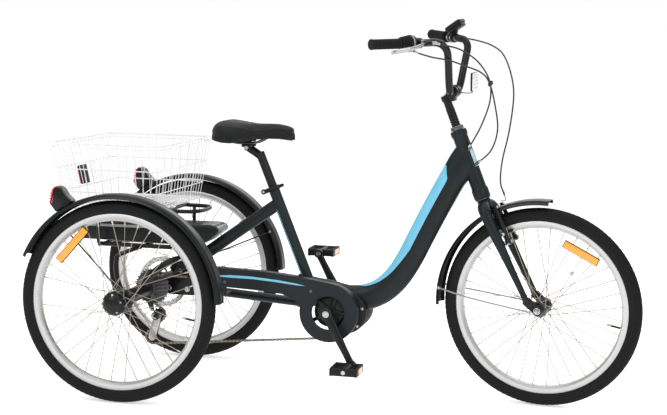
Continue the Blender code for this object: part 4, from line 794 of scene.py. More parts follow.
head_axis = head(0, 0, 1) - head(0, 0, 0)
head_x = HEAD_MATRIX.to_3x3() @ Vector((1, 0, 0))
shape = Shape()
for side in (-1, 1):
    blade = spline([head(0, 0, 0.3425), head(0.001, side * 0.02, 0.3405), head(0.004, side * 0.039, 0.331),
                    head(0.0085, side * 0.0495, 0.306), head(0.018, side * 0.0525, 0.205),
                    head(0.0338, side * 0.0525, 0.034)], 9)
    sizes = marks([(0, 0.016, 0.016), (0.4, 0.0178, 0.0178), (0.62, 0.0172, 0.0165), (1.0, 0.009, 0.009)], len(blade))
    shape.tube(blade, sizes, 28, head_x)
    axle = head(RAKE, 0, 0)
    foot = head(0.0338, 0, 0.04)
    plate = [(foot.x - 0.009, foot.z + 0.004), (foot.x - 0.01, foot.z - 0.012),
             *arc(axle.x, axle.z, 0.0145, 210, 390, 12), (axle.x - 0.002, axle.z + 0.017),
             (foot.x + 0.01, foot.z + 0.008)]
    shape.prism(plate, side * 0.0495, side * 0.0555, 0.0012)
    shape.rod(head(0.016, side * 0.046, ARM_PIVOT[2]), head(ARM_PIVOT[0] - 0.0112, side * 0.04, ARM_PIVOT[2]), 0.0072,
              20)
    weld(shape, head(0.0175, side * 0.0455, ARM_PIVOT[2]), head_x, 0.0072)
    weld(shape, head(0.0322, side * 0.0525, 0.052), head(0.0322, 0, 0.9) - head(0.0338, 0, 0.04), 0.0092, 0.0018)
shape.turned([(0, 0.33), (0.0175, 0.33), (0.0195, 0.332), (0.02, 0.354), (0.018, 0.357), (0.0143, 0.359),
              (0.0143, STEERER_TOP), (0, STEERER_TOP)], along(head(0, 0, 0), head_axis), 36)
piece("fork_blades", shape, PAINT, "steering_assembly", ["fork"], STEERED)

headset = Shape()
place = along(head(0, 0, 0), head_axis)
headset.turned([(0.015, 0.357), (0.0205, 0.3575), (0.0235, 0.359), (0.024, 0.3612), (0.015, 0.3612)], place, 48,
               joined=True)
headset.turned([(0.015, STEERER_TOP - 0.0015), (0.0205, STEERER_TOP - 0.0015), (0.021, STEERER_TOP),
                (0.019, STEERER_TOP + 0.004), (0.015, STEERER_TOP + 0.0045)], place, 48, joined=True)
headset.prism(hexagon(0.0195), STEERER_TOP + 0.004, STEERER_TOP + 0.0095, 0.001, place)
piece("headset_rings", headset, DARK_STEEL, "steering_assembly", (), STEERED)

shape = Shape()
hub = Matrix.Translation(head(RAKE, 0, 0))
shape.matrix = hub
half = [(0.005, 0.0), (0.005, 0.0562), (0.01, 0.0562), (0.0104, 0.0568), (0.0104, 0.059), (0.0098, 0.0596)]
other = [(0.0052, 0.068), (0.005, 0.0695), (0.0046, 0.0735), (0.0036, 0.0745), (0, 0.0745)]
run = half + [(0.0052, 0.06)] + other
shape.turned([(r, -y) for r, y in reversed(run)][:-1] + run[1:], steps=28)
for side in (-1, 1):
    shape.prism(hexagon(0.0088, 12), side * 0.0596, side * 0.0672, 0.0012)
    shape.turned([(0.0053, side * 0.0665), (0.0075, side * 0.067), (0.0066, side * 0.069), (0.0053, side * 0.0695)],
                 steps=24, joined=True)
piece("front_axle_nuts", shape, STEEL, "steering_assembly", ["front_axle"], STEERED)

for side, name, body in ((-1, "brake_arm_right", "right_brake_arm"), (1, "brake_arm_left", "left_brake_arm")):
    x, y, z = ARM_PIVOT
    shape = Shape()
    path = spline([head(x, side * y, z - 0.004), head(x + 0.001, side * (y + 0.004), z + 0.045),
                   head(x - 0.001, side * (y + 0.001), z + 0.09), head(x - 0.003, side * (y - 0.004), z + 0.112)], 8)
    shape.tube(path, marks([(0, 0.0072, 0.0066), (0.35, 0.0072, 0.0046), (0.8, 0.006, 0.004), (1, 0.0052, 0.0038)],
            len(path)), 18, (1, 0, 0))
    shape.rod(head(x - 0.0085, side * y, z), head(x + 0.0095, side * y, z), 0.0088, 28, 0.0012)
    shape.paint(1).bolt(head(x + 0.0092, side * y, z), head_x, 0.0045, 0.0035)
    shape.bolt(head(x + 0.004, side * (y - 0.003), z + 0.107), head_x, 0.003, 0.0028)
    shape.rod(head(x - 0.006, side * 0.0215, z + 0.026), head(x - 0.006, side * (y + 0.0085), z + 0.026), 0.0032, 14)
    shape.rod(head(x - 0.006, side * (y + 0.0045), z + 0.026), head(x - 0.006, side * (y + 0.009), z + 0.026), 0.0058,
              6)
    spring = [head(x - 0.003 + 0.0095 * math.cos(a), side * (y + 0.0005) + 0.0095 * math.sin(a),
                   z - 0.003 - 0.0004 * a) for a in [0.5 * k for k in range(26)]]
    shape.tube(spring + [head(x + 0.006, side * (y - 0.006), z + 0.03), head(x + 0.004, side * (y - 0.003), z + 0.055)],
               0.0009, 6)
    pad = HEAD_MATRIX @ at(x - 0.006, 0, z + 0.0255) @ Matrix.Rotation(math.radians(-6), 4, "Y")
    shape.paint(2).block((-0.027, side * 0.02, -0.0048), (0.027, side * 0.0236, 0.0048), 0.0018, pad)
    for rear, fore in ((-0.026, -0.002), (0.001, 0.026)):
        shape.block((rear, side * 0.017, -0.0044), (fore, side * 0.0205, 0.0044), 0.0008, pad)
    piece(name + "_lever", shape, [BLACK, STEEL, RUBBER], body, [name], STEERED)


# ------------------------------------------------------------------ stem, handlebar and controls
shape = Shape()
place = along(head(0, 0, 0), head_axis)
ribs = [(0, STEERER_TOP + 0.0098), (0.0135, STEERER_TOP + 0.0098)]
height = STEERER_TOP + 0.01
while height < STEM_TOP - 0.04:
    ribs += [(0.0135, height), (0.0135, height + 0.0042), (0.0124, height + 0.005), (0.0124, height + 0.0064)]
    height += 0.0072
ribs += [(0.0124, STEM_TOP - 0.015), (0.015, STEM_TOP - 0.014), (0.0152, STEM_TOP - 0.001), (0.014, STEM_TOP + 0.002),
         (0.006, STEM_TOP + 0.0026), (0, STEM_TOP + 0.0026)]
shape.turned(ribs, place, 36)
reach = spline([head(0.003, 0, STEM_TOP - 0.008), head(0.012, 0, STEM_TOP - 0.001), CLAMP - Vector((0.01, 0, 0.005))],
               6)
shape.tube(reach, marks([(0, 0.0125, 0.0105), (0.5, 0.0135, 0.0115), (1, 0.0165, 0.013)], len(reach)), 28)
shell = [(BAR_R + 0.0004, -0.021), (0.0175, -0.021), (0.0184, -0.0202), (0.0184, 0.0202), (0.0175, 0.021),
         (BAR_R + 0.0004, 0.021)]
shape.turned(shell, Matrix.Translation(CLAMP), 44, joined=True)
shape.block((-0.012, -0.015, -0.0285), (0.006, 0.015, -0.015), 0.003, Matrix.Translation(CLAMP))
shape.paint(1).bolt(CLAMP + Vector((-0.004, 0, -0.0262)), (0.1, 0, -1), 0.0046, 0.003)
shape.bolt(head(0, 0, STEM_TOP + 0.0024), head_axis, 0.0048, 0.0028)
piece("stem_quill", shape, [BLACK, STEEL], "steering_assembly", ["stem"], STEERED)


def bar_half(side):
    rise = [(0.0, 0.022, 0.0), (0.0, 0.034, 0.001), (0.002, 0.048, 0.008), (0.004, 0.061, 0.03), (0.006, 0.072, 0.058),
            (0.009, 0.088, 0.096), (0.009, 0.103, 0.126), (-0.003, 0.114, 0.144)]
    return [on_bar(x, side * y, z) for x, y, z in rise] + [grip_point(side, s) for s in (0.214, 0.192, 0.166, 0.002)]


def inward(side, from_end=0.0):
    """Lays a turned profile's y on the grip's line, from a place on it towards the clamp."""
    return along(grip_point(side, from_end), grip_point(side, 1) - grip_point(side, 0))


shape = Shape().tube(spline([*reversed(bar_half(-1)), on_bar(0, 0, 0), *bar_half(1)], 9), BAR_R, 26, (0, 0, 1))
for side in (-1, 1):
    place = inward(side)
    low = LEVER_FROM_END - 0.007
    shape.turned([(BAR_R, low), (0.0142, low), (0.0152, low + 0.0015), (0.0152, low + 0.0145), (0.0142, low + 0.016),
                  (BAR_R, low + 0.016)], place, 36, joined=True)
    perch = grip_point(side, LEVER_FROM_END, LEVER_AHEAD)
    body = spline([grip_point(side, LEVER_FROM_END - 0.001, 0.01), grip_point(side, LEVER_FROM_END + 0.002, 0.016),
                   grip_point(side, LEVER_FROM_END + 0.012, 0.022), grip_point(side, LEVER_FROM_END + 0.03, 0.0235)],
                  6)
    shape.tube(body, marks([(0, 0.009, 0.008), (0.5, 0.0085, 0.008), (1, 0.0062, 0.0058)], len(body)), 18, UP)
    for level in (-0.0078, 0.0062):
        shape.rod(perch + UP * level, perch + UP * (level + 0.0016), 0.0082, 24, 0.0004)
        ear = spline([perch + UP * (level + 0.0008), grip_point(side, LEVER_FROM_END, 0.008, level + 0.0008)], 3)
        shape.tube(ear, (0.0008, 0.007), 12, UP)
    shape.paint(1).bolt(perch + UP * 0.0076, UP, 0.0036, 0.0026)
    shape.bolt(grip_point(side, LEVER_FROM_END + 0.001, -0.0148), grip_point(side, 0, -1) - grip_point(side, 0, 0),
               0.003, 0.0024)
    start = grip_point(side, LEVER_FROM_END + 0.028, 0.0235)
    end = grip_point(side, LEVER_FROM_END + 0.046, 0.024)
    shape.rod(start, end, 0.0046, 16)
    for share in (0.2, 0.45, 0.7):
        ring = start.lerp(end, share)
        shape.rod(ring, ring + (end - start).normalized() * 0.0022, 0.0056, 18, 0.0004)
    shape.paint(0)
piece("handlebar_tube", shape, [BLACK, STEEL], "steering_assembly", ["handlebar"], STEERED)

for side, name, length, flange in ((1, "grip_left", 0.13, True), (-1, "grip_right", 0.0975, False)):
    profile = [(0, -0.0012), (0.0105, -0.0012), (GRIP_R - 0.0014, -0.0004), (GRIP_R, 0.0014), (GRIP_R, 0.0052),
               (GRIP_R - 0.0014, 0.0062)]
    y = 0.008
    while y < length - 0.01:
        profile += [(GRIP_R - 0.002, y), (GRIP_R - 0.0009, y + 0.0008), (GRIP_R - 0.0009, y + 0.0026),
                    (GRIP_R - 0.002, y + 0.0034)]
        y += 0.0046
    last = GRIP_R + (0.003 if flange else 0.0002)
    profile += [(GRIP_R - 0.001, length - 0.007), (last, length - 0.005), (last, length - 0.0012),
                (last - 0.001, length - 0.0002), (BAR_R + 0.0004, length)]
    piece(name + "_rubber", Shape().turned(profile, inward(side), 40), RUBBER, "steering_assembly",
          [name], STEERED, 28)

shape = Shape()
place = inward(-1)
bore = BAR_R + 0.0004
ribs = toothed(26, 0.0186, 0.0202)
shape.paint(0)
for y, swell in ((0.0985, 0.955), (0.1045, 1.0), (0.1105, 1.05), (0.1165, 1.1)):
    outline = [(x * swell, z * swell) for x, z in ribs]
    shape.prism(outline, y, y + 0.0062, 0.0006, place)
shape.turned([(bore, 0.1225), (0.0228, 0.1225), (0.0243, 0.1255), (0.0245, 0.129), (0.024, 0.13), (bore, 0.13)], place,
             44, joined=True)
shape.paint(1).turned([(bore, 0.13), (0.0241, 0.13), (0.0244, 0.1312), (0.0244, 0.1342), (0.0238, 0.1352),
        (bore, 0.1352)], place, 44, joined=True)
shape.paint(0).turned([(bore, 0.1352), (0.0232, 0.1352), (0.0228, 0.14), (0.0196, 0.1445), (bore, 0.1445)], place, 44,
                      joined=True)
piece("twist_shifter_grip", shape, [PLASTIC, SILVER], "shifter", ["twist_shifter"], STEERED)

for side, name, body in ((-1, "brake_lever_right", "right_lever"), (1, "brake_lever_left", "left_lever")):
    perch = grip_point(side, LEVER_FROM_END, LEVER_AHEAD)
    shape = Shape().rod(perch - 0.006 * UP, perch + 0.006 * UP, 0.0056, 24)
    path = spline([grip_point(side, LEVER_FROM_END + 0.004, LEVER_AHEAD + 0.002),
                   grip_point(side, LEVER_FROM_END - 0.016, LEVER_AHEAD + 0.017, -0.005),
                   grip_point(side, LEVER_FROM_END - 0.05, LEVER_AHEAD + 0.027, -0.012),
                   grip_point(side, LEVER_FROM_END - 0.1, LEVER_AHEAD + 0.024, -0.019),
                   grip_point(side, LEVER_FROM_END - 0.115, LEVER_AHEAD + 0.029, -0.021)], 9)
    shape.tube(path, marks([(0, 0.0056, 0.0058), (0.25, 0.0052, 0.004), (0.7, 0.0062, 0.003), (0.92, 0.0052, 0.0032),
            (1.0, 0.0058, 0.0052)], len(path)), 18, (0, 0, 1))
    piece(name + "_blade", shape, STEEL, body, [name], STEERED)

shape = Shape()
centre = grip_point(1, 0.18)
middle = centre + Vector((0.002, 0, 0.038))
facing = Matrix.Translation(middle) @ Matrix.Rotation(math.radians(-35), 4, "Y")
shape.paint(0).block((-0.0278, -0.0278, -0.0078), (0.0278, 0.0278, 0.006), 0.0055, facing, 4)
shape.block((-0.023, -0.025, -0.017), (0.025, 0.025, -0.004), 0.006, facing, 4)
shape.paint(1).block((-0.019, -0.0225, 0.005), (0.0225, 0.0225, 0.0068), 0.0012, facing)
shape.paint(2).block((-0.02, -0.0235, 0.0045), (0.0235, 0.0235, 0.0062), 0.001, facing)
for y in (-0.014, 0.0, 0.014):
    shape.paint(2).block((-0.0255, y - 0.0045, 0.005), (-0.0215, y + 0.0045, 0.0074), 0.0012, facing)
shape.paint(0).block((-0.0085, -0.0085, -0.025), (0.0085, 0.0085, 0.0), 0.002, Matrix.Translation(middle))
place = inward(1, 0.172)
shape.turned([(BAR_R + 0.0008, 0), (0.014, 0), (0.0147, 0.001), (0.0147, 0.015), (0.014, 0.016),
              (BAR_R + 0.0008, 0.016)], place, 40, joined=True)
shape.paint(3).bolt(grip_point(1, 0.18, -0.0142), grip_point(1, 0, -1) - grip_point(1, 0, 0), 0.0028, 0.0022)
piece("display_unit", shape, [PLASTIC, SCREEN, SILVER, STEEL], "steering_assembly", ["display"],
      STEERED)

shape = Shape()
x = CLAMP.x + 0.062
shape.paint(1).block((x - 0.004, -0.027, CLAMP.z + 0.004), (x + 0.0015, 0.027, CLAMP.z + 0.058), 0.004)
shape.paint(0).block((x + 0.0005, -0.025, CLAMP.z + 0.006), (x + 0.005, 0.025, CLAMP.z + 0.056), 0.0022)
for k in range(5):
    shape.block((x + 0.004, -0.023, CLAMP.z + 0.009 + 0.0094 * k), (x + 0.0053, 0.023, CLAMP.z + 0.0165 + 0.0094 * k),
                0.0008)
strap = spline([(CLAMP.x + 0.0188, 0, CLAMP.z - 0.003), (x - 0.012, 0, CLAMP.z - 0.003),
                (x - 0.0045, 0, CLAMP.z + 0.004), (x - 0.003, 0, CLAMP.z + 0.034)], 7)
shape.paint(2).tube(strap, (0.007, 0.0014), 14)
shape.ring(0.0184, 0.0197, -0.005, 0.005, Matrix.Translation(CLAMP), 40)
shape.paint(3).bolt((x - 0.005, 0, CLAMP.z + 0.031), (-1, 0, 0), 0.003, 0.0022)
piece("front_reflector_plate", shape, [CLEAR, PLASTIC, BLACK, STEEL], "steering_assembly",
      ["front_reflector"], STEERED)

# Cables
FRONT_BRAKE_ROUTE = [
    tuple(grip_point(1, LEVER_FROM_END + 0.04, 0.0238)), (0.948, 0.149, 1.068), (0.99, 0.146, 1.056),
    (1.036, 0.108, 1.034), (1.076, 0.052, 0.985),
    (1.098, 0.012, 0.92), (1.092, -0.006, 0.82), (1.074, -0.01, 0.73), (1.066, 0.004, 0.664),
    (1.072, 0.03, 0.622),
]
LOOM_ROUTES = [
    [tuple(grip_point(-1, LEVER_FROM_END + 0.04, 0.0238)), (0.94, -0.131, 1.069), (0.975, -0.11, 1.056),
     (1.01, -0.06, 1.02), (1.03, -0.012, 0.965),
     (1.032, -0.006, 0.905), (1.01, -0.01, 0.835), (0.984, -0.016, 0.782), (0.9732, -0.021, 0.765)],
    [tuple(grip_point(-1, 0.138, 0.006, -0.0235)), (0.893, -0.136, 1.036), (0.936, -0.106, 1.026),
     (0.975, -0.082, 1.01), (1.012, -0.036, 0.988), (1.03, -0.008, 0.955),
     (1.046, -0.002, 0.892), (1.056, -0.004, 0.82), (1.04, -0.01, 0.76), (1.0045, -0.016, 0.722)],
]


def ferrule(shape, start, toward, radius=0.0034, length=0.016):
    start, toward = Vector(start), Vector(toward)
    shape.rod(start, start + (toward - start).normalized() * length, radius, 16)


shape = Shape().tube(spline(FRONT_BRAKE_ROUTE, 9), 0.0023, 14)
shape.paint(1)
ferrule(shape, FRONT_BRAKE_ROUTE[0], FRONT_BRAKE_ROUTE[1])
ferrule(shape, FRONT_BRAKE_ROUTE[-1], FRONT_BRAKE_ROUTE[-2])
noodle_end = Vector(FRONT_BRAKE_ROUTE[-1])
shape.tube(spline([noodle_end, noodle_end + Vector((0.001, 0.01, -0.018)), head(ARM_PIVOT[0] - 0.001,
        ARM_PIVOT[1] - 0.002, ARM_PIVOT[2] + 0.118)], 6), 0.0016, 10)
shape.tube(spline([head(ARM_PIVOT[0] + 0.001, ARM_PIVOT[1] - 0.003, ARM_PIVOT[2] + 0.112),
                   head(ARM_PIVOT[0] + 0.001, -ARM_PIVOT[1] + 0.003, ARM_PIVOT[2] + 0.112)], 6), 0.0009, 8)
piece("front_brake_hose", shape, [CABLE, STEEL], "steering_assembly", ["front_brake_cable"], STEERED)

loom = Shape()
for route in LOOM_ROUTES:
    loom.tube(spline(route, 9), 0.0023, 14)
loom.paint(1)
for route in LOOM_ROUTES:
    ferrule(loom, route[0], route[1])
    ferrule(loom, route[-1], route[-2], 0.0038, 0.01)
loom.paint(0).rod((1.0312, -0.012, 0.947), (1.0345, -0.004, 0.961), 0.0056, 18)
loom.block((1.0265, -0.015, 0.952), (1.04, -0.001, 0.956), 0.0012)
loom_piece = piece("cable_loom_pair", loom, [CABLE, STEEL], "frame", ["cable_loom"], STEERED,
                   ride=False)
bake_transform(loom_piece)


# ------------------------------------------------------------------ main frame
DOWN_PATH = [
    (0.958, 0, 0.722), (0.925, 0, 0.672), (0.892, 0, 0.61), (0.86, 0, 0.547), (0.829, 0, 0.483),
    (0.799, 0, 0.421), (0.764, 0, 0.364), (0.724, 0, 0.323), (0.676, 0, 0.298), (0.62, 0, 0.29),
    (0.56, 0, 0.298), (0.505, 0, 0.3025), (0.455, 0, 0.3035),
]
DOWN_SIZES = [
    (0.0, 0.024, 0.046), (0.1, 0.027, 0.04), (0.55, 0.029, 0.0395), (0.75, 0.03, 0.0395),
    (0.88, 0.028, 0.044), (1.0, 0.026, 0.052),
]
FILM_HALF = 0.0005
down_path = spline(DOWN_PATH, 7)
down_sizes = marks(DOWN_SIZES, len(down_path))


def decal(path, sizes, first, last, spans, side=(0, 1, 0)):
    """A film laid on a swept tube between two points of its path. spans gives its (low, high) angles by share."""
    chosen = range(first, last + 1)
    steps = 9
    rings = []
    for k, i in enumerate(chosen):
        share = k / (len(chosen) - 1)
        low, high = spans(share)
        angles = [math.radians(low + (high - low) * j / (steps - 1)) for j in range(steps)]
        over, under = [tube_rings(path, [(w + rise, h + rise) for w, h in sizes], 0, side, turns=angles)[i]
                       for rise in (FILM_HALF, -FILM_HALF)]
        rings.append(over + under[::-1])
    return rings


main_rings = tube_rings(down_path, down_sizes, 44)
tube_run = (down_path[0] - down_path[1]).normalized()
head_foot, head_run = head(0, 0, 0), head_axis.normalized()
reached = []  # the top ring carried on to the steering axis, so that the tube ends inside the head tube
for point in main_rings[0]:
    gap = head_foot - point
    cross = tube_run.x * head_run.z - tube_run.z * head_run.x
    reached.append(point + tube_run * max(0.0, (gap.x * head_run.z - gap.z * head_run.x) / cross))
shape = Shape().grid([reached, *main_rings])
place = along(head(0, 0, 0), head_axis)
flare = HEAD_R + 0.0025
shape.turned([(0.0165, HEAD_BOTTOM - 0.03), (flare - 0.002, HEAD_BOTTOM - 0.03), (flare, HEAD_BOTTOM - 0.027),
              (flare, HEAD_BOTTOM - 0.002), (flare - 0.0008, HEAD_BOTTOM), (HEAD_R, HEAD_BOTTOM + 0.003),
              (HEAD_R, HEAD_TOP - 0.003), (flare - 0.0008, HEAD_TOP), (flare, HEAD_TOP + 0.002),
              (flare, HEAD_TOP + 0.013), (flare - 0.0015, HEAD_TOP + 0.0155), (flare - 0.005, HEAD_TOP + 0.017),
              (0.0165, HEAD_TOP + 0.017)], place, 56, joined=True)
shape.paint(1)


def stripe_spans(share):
    """The stripe's angles on the tube: a short slanted start, full width, then thinner towards the motor."""
    width = min(1.0, share / 0.06) * (1 - 1.25 * max(0.0, (share - 0.5) / 0.5))
    return 103, 106 + 60 * (0.3 + 0.7 * width) * (1 if share < 0.94 else (1 - share) / 0.06)


stripe_run = (down_path, down_sizes, 5, 59)
shape.grid(decal(*stripe_run, stripe_spans))
shape.grid(decal(*stripe_run, lambda s: tuple(180 - a for a in stripe_spans(s))[::-1]))
badge = [head(0, 0, 0.458 + 0.0045 * k) for k in range(13)]
shape.paint(3).grid(decal(badge, [(HEAD_R, HEAD_R)] * 13, 0, 12, lambda s: (97 + 12 * s, 138)))
shape.paint(2)
shape.rod((0.9732, -0.0225, 0.765), (0.97, -0.018, 0.755), 0.0048, 14)
shape.rod((1.003, -0.0165, 0.724), (0.99, -0.013, 0.712), 0.0048, 14)
piece("main_tube", shape, [PAINT, STRIPE, DARK_STEEL, BADGE], "frame", ["down_tube", "head_tube"])

seat_path = [on_seat(SEAT_TUBE_LOW + (SEAT_TUBE_TOP - SEAT_TUBE_LOW) * k / 30) for k in range(31)]
seat_sizes = [(SEAT_TUBE_R, SEAT_TUBE_R)] * len(seat_path)
shape = Shape()
seat_place = along(on_seat(0), on_seat(1) - on_seat(0))
shape.turned([(SEAT_POST_R + 0.0004, SEAT_TUBE_TOP), (SEAT_TUBE_R - 0.0008, SEAT_TUBE_TOP),
              (SEAT_TUBE_R, SEAT_TUBE_TOP - 0.0008), (SEAT_TUBE_R, SEAT_TUBE_LOW),
              (SEAT_POST_R + 0.0004, SEAT_TUBE_LOW)], seat_place, 44, joined=True)
shape.paint(1)
shape.grid(decal(seat_path, seat_sizes, 3, 26, lambda s: (-146, -136) if s < 0.5 else (-145, -137)))
shape.grid(decal(seat_path, seat_sizes, 3, 26, lambda s: (-44, -34)))
piece("seat_tube_round", shape, [PAINT, STRIPE], "frame", ["seat_tube"])

shape = Shape()
upper = spline([(0.11, 0, 0.368), (0.245, 0, 0.4668), (0.386, 0, 0.568)], 10)
shape.tube(upper, marks([(0, 0.019, 0.019), (0.5, 0.018, 0.019), (1, 0.017, 0.019)], len(upper)), 36)
weld(shape, (0.3795, 0, 0.563), (-0.14, 0, -0.101), 0.0178, 0.0022)
weld(shape, (0.1365, 0, 0.3868), (0.14, 0, 0.101), 0.0188, 0.002)
piece("rear_stay_tube", shape, PAINT, "frame", ["rear_stay"])
shape = Shape()
lower = spline([(0.12, 0, 0.2905), (0.25, 0, 0.282), (0.47, 0, 0.267)], 10)
shape.tube(lower, [(0.023, 0.0135)] * len(lower), 36)
piece("chain_stay_tube", shape, PAINT, "frame", ["chain_stay"])

# Motor
shape = Shape()
motor = at(MOTOR_X, 0, MOTOR_Z)
FINS = 56
fins = []
for k in range(FINS):
    for share, radius in ((0.0, MOTOR_R), (0.42, MOTOR_R), (0.5, 0.0612), (0.92, 0.0612)):
        a = 2 * math.pi * (k + share) / FINS
        fins.append((radius * math.cos(a), radius * math.sin(a)))
shape.paint(0).prism(fins, -0.0385, 0.064, 0.001, motor)
shape.turned([(0.0135, -0.048), (0.056, -0.048), (0.06, -0.0466), (0.0645, -0.044), (0.0658, -0.042), (0.0658, -0.037),
              (0.0135, -0.037)], motor, 72, joined=True)
shape.turned([(0.0135, 0.0625), (0.0658, 0.0625), (0.0658, 0.068), (0.064, 0.0735), (0.059, 0.08), (0.055, 0.083),
              (0.03, 0.0838), (0.0135, 0.0838)], motor, 72, joined=True)
for y, face in ((-0.0478, -1), (0.0805, 1)):
    for k in range(6):
        a = math.radians(60 * k + 15)
        shape.paint(1).bolt(polar(0.056, a, y, MOTOR_X, MOTOR_Z), (0, face, 0), 0.003, 0.0022)
shape.paint(2).turned([(0.0135, -0.052), (0.023, -0.052), (0.0245, -0.0505), (0.0245, -0.047), (0.0135, -0.047)],
                      at(CRANK_X, 0, CRANK_Z), 48, joined=True)
shape.paint(2).turned([(0.0135, 0.083), (0.023, 0.083), (0.023, 0.0868), (0.0215, 0.088), (0.0135, 0.088)],
                      at(CRANK_X, 0, CRANK_Z), 48, joined=True)
shape.paint(0).block((0.575, -0.022, 0.285), (0.65, 0.022, 0.312), 0.006)
piece("motor_unit", shape, [PLASTIC, STEEL, DARK_STEEL], "frame", ["motor_housing"])


# ------------------------------------------------------------------ chain guard
frame["nodes"]["chain_guard"].data.materials.clear()
frame["nodes"]["chain_guard"].data.materials.append(PAINT)
shape = Shape()
shape.turned([(0.0502, -0.0868), (0.0512, -0.0876), (0.054, -0.0876), (0.0552, -0.0868), (0.0552, -0.086),
              (0.0502, -0.0842)], at(CRANK_X, 0, 0.2545), 72, joined=True)
stripe = [(0.2, 0.3475), (0.262, 0.3532), (0.33, 0.352), (0.41, 0.346), (0.47, 0.3385), (0.498, 0.333), (0.47, 0.3335),
          (0.4, 0.34), (0.33, 0.3446), (0.262, 0.345)]
shape.paint(1).prism(stripe, -0.087, -0.0862, 0.0002)
crest = spline([(0.5825, 0, 0.3431), (0.545, 0, 0.349), (0.506, 0, 0.3545), (0.44, 0, 0.3625), (0.37, 0, 0.3685),
                (0.217, 0, 0.3735)], 5)[1:23]
shape.paint(0).tube([Vector((p.x, -0.0858, p.z - 0.0016)) for p in crest], 0.0013, 8)
for x, z in ((0.245, 0.331), (0.515, 0.318)):
    shape.paint(2).bolt((x, -0.0868, z), (0, -1, 0), 0.003, 0.002)
shape.paint(0).block((0.232, -0.06, 0.29), (0.25, -0.02, 0.2935), 0.001)
shape.block((0.232, -0.084, 0.2905), (0.25, -0.0585, 0.2935), 0.001)
shape.block((0.232, -0.0845, 0.2905), (0.25, -0.0815, 0.34), 0.001)
piece("chain_guard_trim", shape, [PAINT, STRIPE, DARK_STEEL], "frame")


# ------------------------------------------------------------------ axle carrier, brake and load bed
def bent_arm(side):
    return spline([(0.0, side * 0.15, 0.312), (0.032, side * 0.146, 0.352), (0.072, side * 0.118, 0.384),
                   (0.102, side * 0.066, 0.394), (0.108, side * 0.01, 0.394)], 8)


shape = Shape()
bore = AXLE_R + 0.0015
for low, high in ((-HOUSING_OUT_Y, -HOUSING_IN_RIGHT), (HOUSING_IN_LEFT, HOUSING_OUT_Y)):
    shape.paint(0).turned([(bore, low), (0.022, low), (0.0238, low + 0.0018), (0.0238, low + 0.012),
            (0.0224, low + 0.0135), (0.0224, high - 0.0135), (0.0238, high - 0.012), (0.0238, high - 0.0018),
            (0.022, high), (bore, high)], at(0, 0, AXLE_Z), 48, joined=True)
    for y, out in ((low, -1), (high, 1)):
        shape.paint(2).ring(bore, 0.019, y + out * 0.0001, y - out * 0.002, at(0, 0, AXLE_Z), 40)
shape.paint(0)
for side in (-1, 1):
    shape.tube(bent_arm(side), 0.011, 24, (0, 0, 1))
    weld(shape, (0.0085, side * 0.1495, 0.3215), (0.6, 0, 0.75), 0.011, 0.002)
plate = rounded([(0.032, 0.28), (0.05, 0.272), (0.125, 0.272), (0.135, 0.28), (0.135, 0.408), (0.127, 0.414),
                 (0.094, 0.412), (0.08, 0.376), (0.05, 0.326), (0.032, 0.306)], 0.006)
for y in (-0.027, 0.0215):
    shape.prism(plate, y, y + 0.0055, 0.001)
shape.prism(offset(plate, -0.0045), -0.0225, 0.0225, 0.001)
hanger = [(-0.012, 0.283), (0.014, 0.283), (0.026, 0.262), (0.031, 0.234), (0.02, 0.234), (0.006, 0.262),
          (-0.012, 0.268)]
shape.prism(rounded(hanger, 0.003), -0.122, -0.116, 0.001)
for side in (-1, 1):
    for x, z, radius in ((0.0478, 0.2918, 0.0056), (0.1054, 0.2907, 0.0056), (0.0829, 0.348, 0.0046),
                         (0.114, 0.388, 0.0056), (0.112, 0.333, 0.004)):
        shape.paint(1).bolt((x, side * 0.0272, z), (0, side, 0), radius, 0.0042)
piece("axle_bracket", shape, [BLACK, STEEL, DARK_STEEL], "frame", ["axle_carrier"])

shape = Shape()
tilt = Matrix.Translation((0.052, 0, 0.35)) @ Matrix.Rotation(math.radians(-40), 4, "Y")
tilt = tilt @ Matrix.Translation((-0.062, 0, -0.352))
shape.paint(0).block((0.0365, 0.0345, 0.3365), (0.0875, 0.0472, 0.3675), 0.005, tilt, 4)
shape.block((0.0365, 0.0528, 0.3365), (0.0875, 0.0715, 0.3675), 0.006, tilt, 4)
shape.block((0.068, 0.044, 0.34), (0.086, 0.056, 0.364), 0.003, tilt)
shape.paint(1).bolt(tilt @ Vector((0.062, 0.0714, 0.352)), (0, 1, 0), 0.0075, 0.003)
shape.paint(1).bolt(tilt @ Vector((0.044, 0.0714, 0.343)), (0, 1, 0), 0.003, 0.0025)
shape.bolt(tilt @ Vector((0.08, 0.0714, 0.361)), (0, 1, 0), 0.003, 0.0025)
piece("disc_brake_body", shape, [BLACK, STEEL], "frame", ["brake_caliper"])

